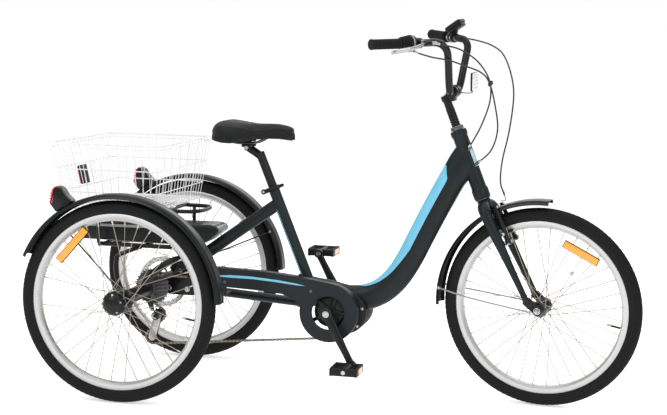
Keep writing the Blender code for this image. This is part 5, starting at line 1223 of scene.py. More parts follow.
shape = Shape()
disc = at(0, 0, AXLE_Z)
for low, high in ((0.064, DISC_R), (HUB_BORE_R, 0.03)):
    shape.paint(0).turned([(low, DISC_Y - 0.001), (high - 0.0004, DISC_Y - 0.001), (high, DISC_Y - 0.0006),
            (high, DISC_Y + 0.0006), (high - 0.0004, DISC_Y + 0.001), (low, DISC_Y + 0.001)], disc, 96, joined=True)
for k in range(6):
    a = math.radians(60 * k)
    p, q = polar(0.027, a, DISC_Y, 0, AXLE_Z), polar(0.067, a + 0.45, DISC_Y, 0, AXLE_Z)
    bend = (p + q) / 2 + polar(0.006, a + 1.8)
    shape.tube(spline([p, bend, q], 5), (0.0009, 0.0042), 10, (0, 1, 0))
    shape.paint(1).bolt(polar(0.02, a, DISC_Y + 0.001, 0, AXLE_Z), (0, 1, 0), 0.0024, 0.002)
    shape.paint(0)
shape.paint(2).turned([(HUB_BORE_R, DISC_Y - 0.016), (0.0205, DISC_Y - 0.016), (0.022, DISC_Y - 0.0145),
        (0.022, DISC_Y - 0.001), (HUB_BORE_R, DISC_Y - 0.001)], disc, 40, joined=True)
for k in range(24):
    a = math.radians(15 * k)
    for radius in (0.0685, 0.075):
        b = a + (0.12 if radius > 0.07 else 0.0)
        spot = polar(radius, b, DISC_Y - 0.00105, 0, AXLE_Z)
        shape.rod(spot, spot + Vector((0, 0.0021, 0)), 0.002, 10, 0.0001)
piece("brake_rotor", shape, [STEEL, DARK_STEEL, BLACK], "drive_axle", ["brake_disc"])
end = TRACK / 2 + 0.041
shape = Shape().rod((0, -end, AXLE_Z), (0, end, AXLE_Z), AXLE_R, 36, 0.001)
piece("rear_axle_bar", shape, STEEL, "drive_axle", ["rear_axle"])

shape = Shape()
half = 0.088
for side in (-1, 1):
    leg_y = side * LEG_Y
    lean = Vector((-0.42, 0, 0.908))
    start = Vector((0, leg_y, AXLE_Z)) + lean * 0.0236
    shape.tube(spline([start, start + lean * 0.028, (-0.03, leg_y, 0.38), (-0.03, leg_y * 0.985, 0.412),
                       (-0.03, leg_y * 0.9, RAIL_Z), (-0.03, side * 0.08, RAIL_Z)], 6), 0.007, 18, (1, 0, 0))
    weld(shape, start + lean * 0.001, lean, 0.007, 0.0016)
    shape.turned([(0.0226, leg_y - 0.013), (0.0252, leg_y - 0.013), (0.0256, leg_y - 0.012), (0.0256, leg_y + 0.01),
                  (0.0252, leg_y + 0.011), (0.0226, leg_y + 0.011)], at(0, 0, AXLE_Z), 40, joined=True)
    shape.rod((-0.178, side * 0.055, RAIL_Z), (0.131, side * 0.055, RAIL_Z), 0.007, 18, 0.002)
    for x in (-0.165, 0.088):
        shape.tube(spline([(x, side * 0.055, RAIL_Z), (x, side * 0.082, RAIL_Z + 0.006),
                           (x, side * half, RAIL_Z + 0.03), (x, side * half, RACK_Z)], 5), 0.0055, 16, (1, 0, 0))
for x in (-0.165, -0.03, 0.088):
    shape.rod((x, -0.08, RAIL_Z), (x, 0.08, RAIL_Z), 0.0052, 16)
loop = [(-0.205, -0.07), (-0.19, -half), (-0.05, -half), (0.1, -half), (0.145, -0.066), (0.158, 0.0), (0.145, 0.066),
        (0.1, half), (-0.05, half), (-0.19, half), (-0.205, 0.07)]
shape.tube(spline([(x, y, RACK_Z) for x, y in loop + loop[:1]], 6)[:-1], 0.0062, 16, (0, 0, 1), joined=True)
for x in (-0.12, -0.02, 0.06):
    shape.rod((x, -half, RACK_Z), (x, half, RACK_Z), 0.0045, 16)
shape.rod((0.124, -0.055, RAIL_Z), (0.124, 0.055, RAIL_Z), 0.0052, 16)
for side in (-1, 1):
    for x in (-0.12, -0.02, 0.06):
        shape.paint(1).bolt((x, side * 0.07, RACK_Z + 0.005), (0, 0, 1), 0.0032, 0.002)
    shape.paint(0).block((0.088, side * 0.06 - 0.008, RAIL_Z - 0.006), (0.134, side * 0.06 + 0.008, RAIL_Z - 0.0025),
                         0.001)
piece("rack_tubes", shape, [BLACK, STEEL], "frame", ["carrier_frame"])


# ------------------------------------------------------------------ basket
BASKET_DEPTH = 0.21
REAR_LEAN = 0.049


def basket_edges(z, inset):
    """Where the basket's rear, front and side walls are at a height, drawn in by inset."""
    down = (BASKET_TOP_Z - z) / BASKET_DEPTH
    return -0.266 + REAR_LEAN * down + inset, 0.095 - 0.028 * down - inset, 0.26 - 0.029 * down - inset


def basket_corners(z, inset):
    """The rounded outline of a horizontal wire."""
    rear, front, wide = basket_edges(z, inset)
    corner = 0.02
    outline = []
    for cx, cy, turn in ((front, wide, 0), (rear, wide, 90), (rear, -wide, 180), (front, -wide, 270)):
        centre = Vector((cx + (-corner if cx == front else corner), cy + (-corner if cy > 0 else corner), z))
        for a in (0, 15, 30, 45, 60, 75, 90):
            angle = math.radians(a + turn)
            outline.append(centre + corner * Vector((math.cos(angle), math.sin(angle), 0)))
    return outline


shape = Shape()
inset = 0.0016
for z, radius in ((BASKET_TOP_Z - 0.003, 0.003), (BASKET_TOP_Z - 0.015, 0.0014), (0.672, 0.0016), (0.603, 0.0016),
                  (BASKET_BOTTOM_Z + 0.003, 0.0026)):
    shape.tube(basket_corners(z, inset + radius), radius, 10, (0, 0, 1), joined=True)
low_z, high_z = BASKET_BOTTOM_Z + 0.003, BASKET_TOP_Z - 0.003


def wall_wire(along_x, side, share):
    """The two ends of an upright wire, a share of the way along a long wall or an end wall."""
    ends = []
    for z in (low_z, high_z):
        rear, front, wide = basket_edges(z, 0.0052)
        if along_x:
            ends.append(Vector((rear + 0.012 + (front - rear - 0.024) * share, side * wide, z)))
        else:
            ends.append(Vector((front if side > 0 else rear, -wide + 0.012 + (2 * wide - 0.024) * share, z)))
    return ends


LONG_WIRES, CROSS_WIRES = 12, 17
for side in (-1, 1):
    for k in range(LONG_WIRES):
        shape.rod(*wall_wire(True, side, k / (LONG_WIRES - 1)), 0.001, 8, 0.0002)
    for k in range(CROSS_WIRES):
        shape.rod(*wall_wire(False, side, k / (CROSS_WIRES - 1)), 0.001, 8, 0.0002)
for k in range(LONG_WIRES):
    a, b = wall_wire(True, -1, k / (LONG_WIRES - 1))[0], wall_wire(True, 1, k / (LONG_WIRES - 1))[0]
    shape.rod(a, b, 0.0011, 8, 0.0002)
for k in range(CROSS_WIRES):
    a, b = wall_wire(False, -1, k / (CROSS_WIRES - 1))[0], wall_wire(False, 1, k / (CROSS_WIRES - 1))[0]
    shape.rod(a + Vector((0, 0, 0.0024)), b + Vector((0, 0, 0.0024)), 0.0011, 8, 0.0002)
shape.paint(1)
for x in (-0.12, 0.06):
    for y in (-0.07, 0.07):
        shape.block((x - 0.012, y - 0.008, BASKET_BOTTOM_Z - 0.001), (x + 0.012, y + 0.008, BASKET_BOTTOM_Z + 0.0012),
                    0.0006)
        shape.bolt((x, y, BASKET_BOTTOM_Z + 0.0012), (0, 0, 1), 0.003, 0.002)
piece("wire_basket", shape, [WIRE, STEEL], "frame", ["basket"])

slope = math.atan2(REAR_LEAN, BASKET_DEPTH)
tilted = at(-0.24595, 0, 0.6345) @ Matrix.Rotation(-slope, 4, "Y")
shape = Shape()
shape.paint(1).block((-0.0052, -0.034, -0.03), (-0.0002, 0.034, 0.03), 0.003, tilted)
shape.paint(0).block((-0.0088, -0.0318, -0.0278), (-0.0045, 0.0318, 0.0278), 0.0022, tilted)
shape.paint(2).bolt(tilted @ Vector((-0.0003, 0, 0)), (1, 0, 0), 0.003, 0.002)
piece("rear_reflector", shape, [RED, PLASTIC, STEEL], "frame", ["basket_reflector"])

# Battery
case = [(-0.25, 0.464), (-0.236, 0.437), (0.146, 0.4325), (0.164, 0.4395), (0.203, 0.468), (0.212, 0.479),
        (0.208, 0.492), (0.19, 0.498), (-0.24, 0.493), (-0.249, 0.484)]
shape = Shape()
shape.prism(rounded(case, 0.008, 5), -0.0598, 0.0598, 0.0075)
front = [(0.136, 0.4355), (0.1462, 0.4338), (0.164, 0.4402), (0.203, 0.4684), (0.2116, 0.479), (0.2078, 0.4915),
         (0.1895, 0.4976), (0.15, 0.4974)]
shape.paint(1).prism(rounded(offset(front, 0.0004), 0.004, 4), -0.05, 0.05, 0.004)
shape.paint(1)
for side in (-1, 1):
    y = side * 0.0597
    shape.prism(rounded([(-0.225, 0.479), (0.13, 0.481), (0.138, 0.486), (0.13, 0.489), (-0.225, 0.487)], 0.0015), y, y
                + side * 0.0003, 0.0001)
shape.paint(2)
for side in (-1, 1):
    shape.block((-0.232, side * 0.059, 0.464), (0.15, side * 0.0601, 0.4655), 0.0003)
shape.paint(3).rod((0.06, -0.059, 0.456), (0.06, -0.0612, 0.456), 0.0075, 24)
shape.paint(2).block((0.0585, -0.0615, 0.452), (0.0615, -0.0608, 0.46), 0.0003)
for k in range(4):
    shape.paint(3).rod((-0.243, -0.018 + 0.012 * k, 0.466), (-0.2472, -0.018 + 0.012 * k, 0.466), 0.0026, 14)
handle = spline([(-0.238, -0.034, 0.488), (-0.2425, -0.03, 0.49), (-0.244, 0.0, 0.4905), (-0.2425, 0.03, 0.49),
                 (-0.238, 0.034, 0.488)], 5)
shape.paint(2).tube(handle, (0.0035, 0.0035), 14, (1, 0, 0))
piece("battery_case", shape, [CASE, SILVER, PLASTIC, STEEL], "battery", ["battery_pack"])


# ------------------------------------------------------------------ drive
def belt_points(circles):
    """Points of a closed belt round circles of (x, z, radius, hand), hand 1 where it turns clockwise."""
    legs = []
    for (x0, z0, r0, h0), (x1, z1, r1, h1) in zip(circles, circles[1:] + circles[:1]):
        span = math.hypot(x1 - x0, z1 - z0)
        lift = math.asin((h0 * r0 - h1 * r1) / span)
        legs.append(math.atan2(z1 - z0, x1 - x0) + math.pi / 2 - lift)
    points = []
    for i, (x, z, radius, hand) in enumerate(circles):
        into, out = legs[i - 1], legs[i]
        sweep = (out - into) % (2 * math.pi)
        if hand > 0:
            sweep -= 2 * math.pi
        steps = max(4, int(abs(sweep) / math.radians(4)))
        points.append([polar(hand * radius, into + sweep * k / steps, CHAIN_Y, x, z) for k in range(steps + 1)])
    return points


def resampled(points, pitch):
    """Points a whole number of equal steps apart along a run, as near to the pitch as they fit."""
    lengths = [0.0]
    for a, b in zip(points, points[1:]):
        lengths.append(lengths[-1] + (b - a).length)
    count = max(2, round(lengths[-1] / pitch))
    found, i = [], 0
    for k in range(count + 1):
        target = lengths[-1] * k / count
        while i < len(lengths) - 2 and lengths[i + 1] < target:
            i += 1
        span = lengths[i + 1] - lengths[i]
        found.append(points[i].lerp(points[i + 1], (target - lengths[i]) / span if span else 0))
    return found


PLATE_HALF = 0.0037


def chain_links(shape, pins, first):
    """Roller chain: outer and inner plates by turns over pins and rollers."""
    for i, (a, b) in enumerate(zip(pins, pins[1:])):
        run = b - a
        span = run.length
        turn = Matrix.Translation((a + b) / 2) @ Matrix.Rotation(-math.atan2(run.z, run.x), 4, "Y")
        outline = []
        for cx, start in ((span / 2, -80), (-span / 2, 100)):
            outline += arc(cx, 0, PLATE_HALF, start, start + 160, 6)
        waist = PLATE_HALF * 0.7
        outline = outline[:6] + [(0, waist)] + outline[6:] + [(0, -waist)]
        y = 0.0031 if (i + first) % 2 else 0.0019
        for side in (-1, 1):
            shape.paint(0).prism(outline, side * y - 0.0005, side * y + 0.0005, 0.0002, turn)
        shape.paint(1).rod(a + Vector((0, -0.0038, 0)), a + Vector((0, 0.0038, 0)), 0.0017, 8, 0.0003)
        shape.rod(a + Vector((0, -0.0014, 0)), a + Vector((0, 0.0014, 0)), 0.0036, 10, 0.0003)
    return shape


wraps = belt_points([(0.0, AXLE_Z, SPROCKET_R, 1), (CRANK_X, CRANK_Z, CHAINRING_R, 1), (*TENSION_PULLEY, PULLEY_R, 1),
                     (*GUIDE_PULLEY, PULLEY_R, -1)])
split = wraps[1][-1].lerp(wraps[2][0], (CRANK_X - CHAIN_SPLIT_X) / (CRANK_X - wraps[2][0].x))
long_run = resampled([*wraps[0], *wraps[1], split], CHAIN_PITCH)
lead_in = resampled([wraps[3][-1], wraps[0][0]], CHAIN_PITCH)
loop_run = resampled([split, *wraps[2], *wraps[3]], CHAIN_PITCH)
shape = chain_links(Shape(), lead_in, 1)
shape = chain_links(shape, long_run, len(lead_in))
main_chain = piece("chain_main", shape, [CHAIN, STEEL], "frame", ["chain"], ride=False)
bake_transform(main_chain)
loop_chain = piece("chain_loop", chain_links(Shape(), loop_run, 0), [CHAIN, STEEL], "frame", ["chain"],
                   ride=False)
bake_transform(loop_chain)

shape = Shape()
hub = at(0, 0, AXLE_Z)
pitch = 2 * CASSETTE_HALF / CASSETTE_COUNT
for i in range(CASSETTE_COUNT):
    y = CASSETTE_Y - CASSETTE_HALF + i * pitch
    radius = 0.025 + 0.0045 * i if i < 4 else 0.0565 - 0.0055 * (6 - i)
    teeth = max(12, round(2 * math.pi * radius / CHAIN_PITCH))
    root = radius - 0.004
    if i == 3:
        radius, root, teeth = SPROCKET_R + 0.0006, SPROCKET_R - 0.0046, CASSETTE_TEETH
    shape.paint(0).prism(toothed(teeth, root, radius), y + 0.0012, y + 0.0031, 0.0004, hub)
    shape.paint(1).ring(HUB_BORE_R, 0.0205, y + 0.0031, y + pitch + 0.0012, hub, 40)
for i, (radius, holes) in enumerate(((0.0455, 9), (0.04, 8))):
    y = CASSETTE_Y - CASSETTE_HALF + (6 - i) * pitch + 0.0031
    for k in range(holes):
        a = 2 * math.pi * k / holes
        spot = polar(0.0345, a, y - 0.0003, 0, AXLE_Z)
        shape.paint(1).rod(spot, spot + Vector((0, 0.0006, 0)), 0.0052, 18, 0.0002)
low = CASSETTE_Y - CASSETTE_HALF
shape.paint(0).turned([(HUB_BORE_R, low), (0.017, low), (0.018, low + 0.0008), (0.018, low + 0.0018),
        (HUB_BORE_R, low + 0.0018)], hub, 36, joined=True)
piece("cassette_sprockets", shape, [DARK_STEEL, STEEL], "freewheel", ["cassette"])

centre = Vector((CRANK_X, 0, CRANK_Z))
shape = Shape()
place = at(CRANK_X, 0, CRANK_Z)
teeth_out = toothed(CHAINRING_TEETH, CHAINRING_R - 0.0048, CHAINRING_R + 0.0012)
window = [(0.058 * math.cos(2 * math.pi * k / 200), 0.058 * math.sin(2 * math.pi * k / 200)) for k in range(200)]
rings = []
for outline, y in ((window, -0.0015), (offset(teeth_out, -0.0004), -0.0015), (teeth_out, -0.0009), (teeth_out, 0.0009),
                   (offset(teeth_out, -0.0004), 0.0015), (window, 0.0015)):
    rings.append([place @ Vector((x, CHAIN_Y + y, z)) for x, z in outline])
shape.paint(0).grid(rings, joined=True)
shape.turned([(0.012, -0.069), (0.0455, -0.0684), (0.047, -0.0674), (0.047, -0.065), (0.012, -0.064)], place, 72,
             joined=True)
for k in range(5):
    a = math.radians(72 * k + 66)
    p, q = place @ polar(0.012, a, CHAIN_Y - 0.006), place @ polar(0.062, a, CHAIN_Y - 0.0018)
    shape.paint(0).tube(spline([p, p.lerp(q, 0.55) + Vector((0, -0.001, 0)), q], 5), [(0.003, 0.0075)] * 5
                        + [(0.0026, 0.006)] * 5 + [(0.0022, 0.0052)], 16, (0, 1, 0))
    shape.paint(1).bolt(place @ polar(0.0605, a, CHAIN_Y - 0.004), (0, -1, 0), 0.004, 0.0024)
shape.paint(2).turned([(0, -0.0995), (0.0118, -0.0995), (0.0125, -0.0985), (0.0125, 0.0985), (0.0118, 0.0995),
        (0, 0.0995)], place, 40)
shape.paint(0).turned([(0.0125, -0.076), (0.019, -0.075), (0.0205, -0.0735), (0.0205, -0.0665), (0.0125, -0.0655)],
                      place, 48, joined=True)
piece("chainring_spider", shape, [BLACK, STEEL, DARK_STEEL], "cranks", ["chainring"])

PEDAL_OFFSET = Vector((CRANK_LENGTH * math.cos(CRANK_ANGLE), 0, CRANK_LENGTH * math.sin(CRANK_ANGLE)))
for side, name, pedal_name, pedal_body in ((-1, "crank_right", "pedal_right", "pedal_right_body"),
        (1, "crank_left", "pedal_left", "pedal_left_body")):
    toward = PEDAL_OFFSET if side < 0 else -PEDAL_OFFSET
    inner = centre + Vector((0, side * 0.11, 0))
    outer = centre + toward + Vector((0, side * 0.128, 0))
    path = [inner.lerp(outer, k / 14) for k in range(15)]
    shape = Shape().tube(path, marks([(0, 0.0085, 0.016), (0.15, 0.0078, 0.0148), (0.85, 0.0062, 0.0108),
            (1.0, 0.0062, 0.0115)], 15), 28, (0, 1, 0))
    boss = Matrix.Translation(inner)
    shape.turned([(0.0, side * 0.008), (0.0115, side * 0.008), (0.012, side * 0.0095), (0.0178, side * 0.0095),
                  (0.019, side * 0.0082), (0.019, -side * 0.0085), (0.018, -side * 0.0095), (0, -side * 0.0095)], boss,
                 44)
    shape.paint(1).turned([(0, side * 0.0078), (0.01, side * 0.0078), (0.0105, side * 0.0084), (0.01, side * 0.0102),
            (0.006, side * 0.0106), (0.0056, side * 0.0092), (0, side * 0.009)], boss, 32)
    eye = Matrix.Translation(outer)
    shape.paint(0).turned([(0, side * 0.0075), (0.0125, side * 0.0075), (0.0135, side * 0.0064),
            (0.0135, -side * 0.0064), (0.0125, -side * 0.0075), (0, -side * 0.0075)], eye, 36)
    shape.paint(1).turned([(0, -side * 0.0074), (0.0072, -side * 0.0074), (0.0072, -side * 0.0084),
            (0.004, -side * 0.0088), (0, -side * 0.0078)], eye, 28)
    piece(name + "_arm", shape, [BLACK, STEEL], "cranks", [name])

    x, z = CRANK_X + toward.x, CRANK_Z + toward.z
    spin = at(x, 0, z)
    near, far = side * 0.149, side * 0.2435
    shape = Shape()
    for ahead in (-1, 1):
        shape.block((ahead * 0.0335, near, -0.012), (ahead * 0.0415, far, 0.012), 0.0032, spin, 4)
        for k in range(7):
            y = min(near, far) + 0.01 + 0.0124 * k
            for face in (-1, 1):
                shape.block((ahead * 0.0375 - 0.0035, y - 0.002, face * 0.0122 - 0.0006),
                            (ahead * 0.0375 + 0.0035, y + 0.002, face * 0.0122 + 0.0006), 0.0005, spin, 1)
        mid = (near + far) / 2
        shape.paint(2).block((ahead * 0.0412, mid - 0.026, -0.0078), (ahead * 0.0428, mid + 0.026, 0.0078), 0.0008,
                             spin)
        shape.paint(0)
    for y0, y1 in ((near, near + side * 0.0115), (far - side * 0.0115, far)):
        shape.block((-0.04, y0, -0.0112), (0.04, y1, 0.0112), 0.004, spin, 4)
    shape.rod((x, near, z), (x, far - side * 0.002, z), 0.0108, 32, 0.0015)
    for k in range(4):
        y = near + side * (0.02 + 0.018 * k)
        shape.block((-0.035, y - 0.0014, -0.0075), (0.035, y + 0.0014, 0.0075), 0.001, spin, 1)
    shape.paint(1).rod((x, side * 0.1358, z), (x, near + side * 0.002, z), 0.0074, 24)
    shape.rod((x, far - side * 0.003, z), (x, far + side * 0.0004, z), 0.0072, 6)
    piece(pedal_name + "_cage", shape, [PLASTIC, STEEL, AMBER], pedal_body, [pedal_name])

for name, (x, z) in (("guide_pulley", GUIDE_PULLEY), ("tension_pulley", TENSION_PULLEY)):
    spin = at(x, CHAIN_Y, z)
    shape = Shape().prism(toothed(PULLEY_TEETH, PULLEY_R - 0.0048, PULLEY_R + 0.0004), -0.0012, 0.0012, 0.0004, spin)
    shape.turned([(0.003, -0.004), (0.0078, -0.004), (0.0082, -0.0034), (0.01, -0.0016), (0.01, 0.0016),
                  (0.0082, 0.0034), (0.0078, 0.004), (0.003, 0.004)], spin, 32, joined=True)
    piece(name + "_wheel", shape, PLASTIC, name + "_body", [name])

gx, gz = GUIDE_PULLEY
tx, tz = TENSION_PULLEY
shape = Shape()
bearing = math.degrees(math.atan2(tz - gz, tx - gx))
outline = arc(gx, gz, 0.0118, bearing + 90, bearing + 270, 14) + arc(tx, tz, 0.0118, bearing - 90, bearing + 90, 14)
for y in (-0.0085, 0.0068):
    shape.prism(outline, CHAIN_Y + y, CHAIN_Y + y + 0.0017, 0.0005)
for x, z in (GUIDE_PULLEY, TENSION_PULLEY):
    shape.paint(1).rod((x, CHAIN_Y - 0.0088, z), (x, CHAIN_Y + 0.0088, z), 0.0026, 18)
    shape.bolt((x, CHAIN_Y - 0.0085, z), (0, -1, 0), 0.0042, 0.0016)
piece("derailleur_cage_plates", shape, [STEEL, STEEL], "cage", ["derailleur_cage"])
shape = Shape().rod((gx, CHAIN_Y - 0.036, gz), (gx, CHAIN_Y - 0.0106, gz), 0.012, 36, 0.0016)
for y in (-0.033, -0.029, -0.025, -0.021, -0.017):
    shape.ring(0.0118, 0.0126, y, y + 0.002, at(gx, CHAIN_Y, gz), 36)
path = spline([(gx, CHAIN_Y - 0.03, gz), (gx + 0.018, CHAIN_Y - 0.036, gz + 0.006),
               (gx + 0.022, CHAIN_Y - 0.044, gz + 0.016)], 7)
shape.tube(path, marks([(0, 0.008, 0.0108), (0.5, 0.0078, 0.0098), (1, 0.005, 0.0078)], len(path)), 22, (0, 0, 1))
shape.paint(1).bolt((gx, CHAIN_Y - 0.036, gz), (0, -1, 0), 0.0056, 0.0024)
shape.bolt((gx + 0.02, CHAIN_Y - 0.044, gz + 0.006), (0, -1, 0.2), 0.0028, 0.0022)
piece("derailleur_linkage", shape, [BLACK, STEEL], "derailleur", ["derailleur_body"])


# ------------------------------------------------------------------ seat
shape = Shape()
low = SEAT_TUBE_TOP + 0.0003
shape.paint(0).turned([(SEAT_POST_R + 0.0005, low), (0.0186, low), (0.0194, low + 0.001), (0.0194, low + 0.013),
        (0.0186, low + 0.014), (SEAT_POST_R + 0.0005, low + 0.014)], seat_place, 48, joined=True)
ear = Matrix.Translation(on_seat(low + 0.007, -0.0225)) @ Matrix.Rotation(-SEAT_TILT, 4, "Y")
for a, b in ((-0.0108, -0.0018), (0.0018, 0.0108)):
    shape.block((-0.0085, a, -0.0068), (0.0085, b, 0.0068), 0.0018, ear)
shape.paint(1).rod(ear @ Vector((-0.003, -0.011, 0)), ear @ Vector((-0.003, 0.015, 0)), 0.0026, 14)
shape.rod(ear @ Vector((-0.003, 0.011, 0)), ear @ Vector((-0.003, 0.0165, 0)), 0.0055, 6)
piece("seat_clamp_ring", shape, [BLACK, STEEL], "frame", ["seat_collar"])

x, _, z = on_seat(0.078, -0.027)
shape = Shape()
path = spline([(x, -0.0225, z), (x + 0.022, -0.025, z + 0.01), (x + 0.052, -0.0245, z + 0.021),
               (x + 0.063, -0.0225, z + 0.0255)], 7)
shape.tube(path, marks([(0, 0.004, 0.006), (0.4, 0.003, 0.0044), (0.8, 0.0028, 0.0052), (1, 0.0022, 0.0036)],
        len(path)), 20, (0, 1, 0))
shape.rod((x, -0.0265, z), (x, -0.017, z), 0.0082, 30, 0.0012)
shape.paint(1).rod((x, -0.0178, z), (x, -0.012, z), 0.0058, 24)
shape.paint(1).rod((x, -0.0262, z), (x, -0.0272, z), 0.004, 20, 0.0003)
piece("seat_cam_lever", shape, [BLACK, STEEL], "seat_release_lever", ["seat_lever"])

shape = Shape()
bottom = POST_TOP - 0.295
shape.paint(0).turned([(0, bottom), (SEAT_POST_R - 0.001, bottom), (SEAT_POST_R, bottom + 0.001),
        (SEAT_POST_R, POST_TOP - 0.001), (SEAT_POST_R - 0.001, POST_TOP), (0, POST_TOP)], seat_place, 36)
for k in range(9):
    y = 0.1 + 0.008 * k
    shape.paint(1).turned([(SEAT_POST_R - 0.0004, y), (SEAT_POST_R + 0.00015, y), (SEAT_POST_R + 0.00015, y + 0.0008),
            (SEAT_POST_R - 0.0004, y + 0.0008)], seat_place, 36, start=-20, end=20)
shape.paint(0)
neck = spline([on_seat(POST_TOP - 0.014), on_seat(POST_TOP + 0.004, -0.012), (0.293, 0, 0.7345)], 7)
shape.tube(neck, marks([(0, 0.0128, 0.0128), (0.5, 0.0134, 0.0124), (1, 0.0144, 0.0124)], len(neck)), 26)
shape.rod((0.289, -0.017, 0.7375), (0.289, 0.017, 0.7375), 0.0102, 36, 0.0014)
for side in (-1, 1):
    shape.block((0.274, side * 0.0172, 0.74), (0.306, side * 0.0285, 0.7478), 0.0025)
    shape.block((0.274, side * 0.0172, 0.7555), (0.306, side * 0.0285, 0.761), 0.0022)
    shape.paint(1).rod((0.29, side * 0.0228 - side * 0.007, 0.738), (0.29, side * 0.0228 + side * 0.007, 0.738), 0.0065,
                       6)
    shape.paint(0)
shape.paint(1).rod((0.289, -0.03, 0.7375), (0.289, 0.03, 0.7375), 0.0036, 16)
piece("seat_post_tube", shape, [BLACK, STEEL], "seat", ["seat_post"])

rail = 0.7515
half = [(0.214, 0.036, 0.778), (0.232, 0.034, 0.76), (0.262, 0.024, rail), (0.312, 0.022, rail + 0.001),
        (0.345, 0.018, 0.768), (0.372, 0.01, 0.787)]
path = [(x, -y, z) for x, y, z in half] + [(0.381, 0.0, 0.791)] + [tuple(p) for p in reversed(half)]
shape = Shape().tube(spline(path, 7), 0.0035, 16, (0, 0, 1))
for side in (-1, 1):
    shape.rod((0.212, side * 0.036, 0.774), (0.2145, side * 0.0362, 0.785), 0.007, 20)
piece("saddle_rail_wire", shape, DARK_STEEL, "seat", ["saddle_rails"])

SADDLE_STATIONS = [
    # x, half width, crown height, skirt depth
    (0.183, 0.045, 0.8, 0.02), (0.188, 0.068, 0.812, 0.036), (0.205, 0.092, 0.82, 0.05),
    (0.23, 0.103, 0.822, 0.058), (0.258, 0.1, 0.819, 0.056), (0.288, 0.08, 0.815, 0.044),
    (0.32, 0.055, 0.812, 0.034), (0.355, 0.038, 0.812, 0.03), (0.392, 0.031, 0.812, 0.03),
    (0.42, 0.027, 0.809, 0.03), (0.433, 0.02, 0.804, 0.026), (0.439, 0.01, 0.797, 0.018),
]


def saddle_section(x):
    for a, b in zip(SADDLE_STATIONS, SADDLE_STATIONS[1:]):
        if x <= b[0]:
            t = (x - a[0]) / (b[0] - a[0])
            return [p + (q - p) * t for p, q in zip(a, b)]
    return list(SADDLE_STATIONS[-1])


def saddle_rings(shrink, under_gap, floor):
    """Rings of the cushion: its crowned skin above and a shallower skin beneath, drawn in by shrink all round."""
    rings = []
    count = 40
    first, last = SADDLE_STATIONS[0][0] + shrink, SADDLE_STATIONS[-1][0] - shrink
    for i in range(count + 1):
        x = first + (last - first) * (1 - math.cos(math.pi * i / count)) / 2
        _, wide, crown, skirt = saddle_section(x)
        wide, crown = wide - shrink, crown - shrink
        end = min(1.0, math.sqrt(max(0.0, 1 - (2 * i / count - 1) ** 8)))
        skirt *= floor
        over, under = [], []
        for k in range(-12, 13):
            s = k / 12
            across = math.sin(s * math.pi / 2)
            dip = 0.0035 * math.exp(-(s / 0.16) ** 2) * min(1.0, max(0.0, (0.36 - x) / 0.05))
            fall = skirt * (1 - math.cos(s * math.pi / 2)) ** 1.25
            over.append(Vector((x, wide * across, crown - fall - dip)))
            if abs(k) < 12:
                depth = under_gap * (0.55 + 0.45 * end)
                under.append(Vector((x, (wide - 0.004) * across, crown - depth - fall * 0.8)))
        rings.append(over + under[::-1])
    return rings


def swollen(obj, voxel, pressure, cap, frames=20):
    """Fills the closed form under cloth pressure, no point moving further than cap, and smooths it."""
    scene = bpy.context.scene
    remesh = obj.modifiers.new("even", "REMESH")
    remesh.mode = "VOXEL"
    remesh.voxel_size = voxel
    even = bpy.data.meshes.new_from_object(obj.evaluated_get(bpy.context.evaluated_depsgraph_get()))
    obj.modifiers.clear()
    obj.data = even
    rest = [v.co.copy() for v in even.vertices]
    cloth = obj.modifiers.new("fill", "CLOTH")
    cloth.settings.use_pressure = True
    cloth.settings.uniform_pressure_force = pressure
    cloth.settings.effector_weights.gravity = 0
    cloth.settings.mass = 0.3
    cloth.settings.tension_stiffness = 12
    cloth.settings.bending_stiffness = 1.2
    cloth.point_cache.frame_end = frames
    for number in range(1, frames + 1):
        scene.frame_set(number)
    filled = bpy.data.meshes.new_from_object(obj.evaluated_get(bpy.context.evaluated_depsgraph_get()))
    obj.modifiers.clear()
    for vertex, start, end in zip(even.vertices, rest, filled.vertices):
        move = end.co - start
        if move.length > cap:
            move = move.normalized() * cap
        vertex.co = start + move
    scene.frame_set(1)
    smooth = obj.modifiers.new("smooth", "SMOOTH")
    smooth.factor, smooth.iterations = 0.5, 4
    finer = obj.modifiers.new("finer", "SUBSURF")
    finer.levels = finer.render_levels = 1
    done = bpy.data.meshes.new_from_object(obj.evaluated_get(bpy.context.evaluated_depsgraph_get()))
    obj.modifiers.clear()
    obj.data = done
    return obj


source = bpy.data.meshes.new("saddle_cushion")
skin = Shape().grid(saddle_rings(0.0045, 0.021, 0.9))
source.from_pydata(skin.verts, [], skin.faces)
cushion = bpy.data.objects.new("saddle_cushion", source)
bpy.context.scene.collection.objects.link(cushion)
cushion.matrix_world = FIXED
swollen(cushion, 0.0046, 4.0, 0.0055)
for material in (LEATHER, LEATHER_SIDE):
    cushion.data.materials.append(material)


def seam_y(x):
    _, wide, _, _ = saddle_section(x)
    return wide * (0.8 if x < 0.3 else 0.8 - 0.1 * min(1.0, (x - 0.3) / 0.08))


for polygon in cushion.data.polygons:
    p = polygon.center
    polygon.material_index = 1 if abs(p.y) > seam_y(p.x) or polygon.normal.z < -0.2 else 0
    polygon.use_smooth = True
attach(cushion, "seat")
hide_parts("saddle")

probe = bmesh.new()
probe.from_mesh(cushion.data)
tree = BVHTree.FromBMesh(probe)
seams = Shape()


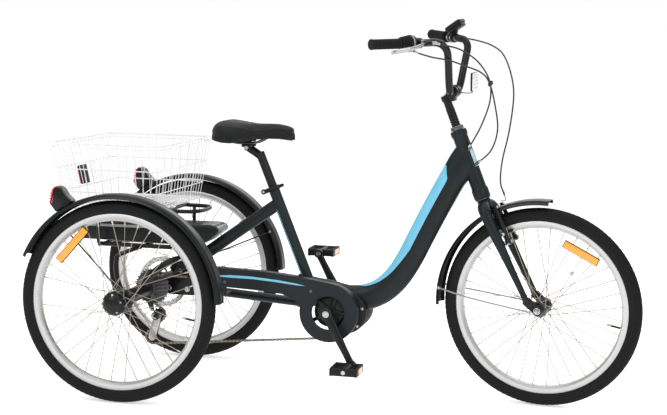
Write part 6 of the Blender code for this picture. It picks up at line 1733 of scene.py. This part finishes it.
def stitched(points, radius):
    """A piped seam laid on the cushion's skin, with stitches each side of it."""
    found = []
    for x, y in points:
        hit = tree.ray_cast(Vector((x, y, 0.9)), Vector((0, 0, -1)))[0]
        if hit is not None:
            found.append(hit - Vector((0, 0, radius * 0.25)))
    if len(found) > 3:
        seams.paint(0).tube(found, radius, 8)
        for a, b in zip(found[::2], found[1::2]):
            across = (b - a).cross(Vector((0, 0, 1))).normalized() * 0.0026
            for side in (-1, 1):
                p, q = a.lerp(b, 0.15) + across * side, a.lerp(b, 0.85) + across * side
                lift = []
                for point in (p, q):
                    hit = tree.ray_cast(point + Vector((0, 0, 0.05)), Vector((0, 0, -1)))[0]
                    lift.append(hit + Vector((0, 0, 0.0002)) if hit is not None else point)
                seams.paint(1).rod(lift[0], lift[1], 0.00045, 5, 0.0001)


for side in (-1, 1):
    xs = [0.192 + (0.428 - 0.192) * k / 90 for k in range(91)]
    stitched([(x, side * seam_y(x)) for x in xs], 0.001)
probe.free()
piece("saddle_seams", seams, [LEATHER_SIDE, THREAD], "seat")

base = Shape()
rings = []
for i in range(31):
    x = 0.192 + (0.432 - 0.192) * i / 30
    _, wide, crown, skirt = saddle_section(x)
    ring = []
    for k in range(-8, 9):
        s = k / 8
        across = math.sin(s * math.pi / 2)
        ring.append(Vector((x, (wide - 0.006) * across,
                            crown - 0.02 - skirt * 0.8 * (1 - math.cos(s * math.pi / 2)) ** 1.25)))
    rings.append(ring + [p + Vector((0, 0, 0.0035)) for p in reversed(ring)])
base.grid(rings)
piece("saddle_shell", base, PLASTIC, "seat")


# ------------------------------------------------------------------ floor, light and camera
floor_shape = Shape()
floor_shape.face(0, 1, 2, 3)
floor_shape.verts = [Vector((x, y, -0.0005)) for x, y in ((-30, -30), (30, -30), (30, 30), (-30, 30))]
floor_mesh = bpy.data.meshes.new("floor")
floor_mesh.from_pydata(floor_shape.verts, [], floor_shape.faces)
paper = surface("floor_paper", (0.93, 0.93, 0.93), 0.9, 0.0, 3, 0.01, 0.02, specular=0.0)
paper.node_tree.nodes["Principled BSDF"].inputs["Emission Color"].default_value = (1, 1, 1, 1)
paper.node_tree.nodes["Principled BSDF"].inputs["Emission Strength"].default_value = 0.46
floor_mesh.materials.append(paper)
floor = bpy.data.objects.new("floor", floor_mesh)
bpy.context.scene.collection.objects.link(floor)

world = bpy.data.worlds.new("studio")
bpy.context.scene.world = world
world.use_nodes = True
backdrop = world.node_tree.nodes["Background"]
backdrop.inputs["Color"].default_value = (1, 1, 1, 1)
rays = world.node_tree.nodes.new("ShaderNodeLightPath")
level = world.node_tree.nodes.new("ShaderNodeMapRange")
level.inputs["To Min"].default_value = 0.62
level.inputs["To Max"].default_value = 1.0
world.node_tree.links.new(rays.outputs["Is Camera Ray"], level.inputs["Value"])
world.node_tree.links.new(level.outputs["Result"], backdrop.inputs["Strength"])


def softbox(name, place, aim, size, power):
    light = bpy.data.lights.new(name, "AREA")
    light.shape = "RECTANGLE"
    light.size, light.size_y = size
    light.energy = power
    obj = bpy.data.objects.new(name, light)
    obj.location = place
    obj.rotation_euler = (Vector(aim) - Vector(place)).to_track_quat("-Z", "Y").to_euler()
    bpy.context.scene.collection.objects.link(obj)


softbox("key", (-1.8, -3.4, 3.6), (0, 0, 0.4), (2.6, 2.0), 60)
softbox("fill", (3.2, -2.6, 2.4), (0, 0, 0.5), (2.2, 2.2), 30)
softbox("top", (0.0, 0.4, 4.2), (0, 0, 0.3), (4.5, 3.5), 75)
softbox("back", (0.5, 4.0, 2.6), (0, 0, 0.5), (3.5, 1.6), 35)

YAW, PITCH, ROLL = math.radians(-13.0), math.radians(-6.5), math.radians(1.18)
FOCAL_PIXELS, IMAGE_WIDTH, SENSOR = 1520.0, 667.0, 36.0
ahead = Vector((math.sin(YAW) * math.cos(PITCH), math.cos(YAW) * math.cos(PITCH), math.sin(PITCH)))
right = Vector((math.cos(YAW), -math.sin(YAW), 0))
above = right.cross(ahead)
rolled_right = right * math.cos(ROLL) + above * math.sin(ROLL)
rolled_above = -right * math.sin(ROLL) + above * math.cos(ROLL)
camera_data = bpy.data.cameras.new("camera")
camera_data.sensor_width = SENSOR
camera_data.lens = FOCAL_PIXELS / IMAGE_WIDTH * SENSOR
camera_data.clip_end = 200
camera = bpy.data.objects.new("camera", camera_data)
bpy.context.scene.collection.objects.link(camera)
turn = Matrix((rolled_right, rolled_above, -ahead)).transposed().to_4x4()
camera.matrix_world = Matrix.Translation((1.592 - CENTRE_X, -4.47, 1.087)) @ turn
bpy.context.scene.camera = camera
bpy.context.scene.view_settings.view_transform = "Standard"
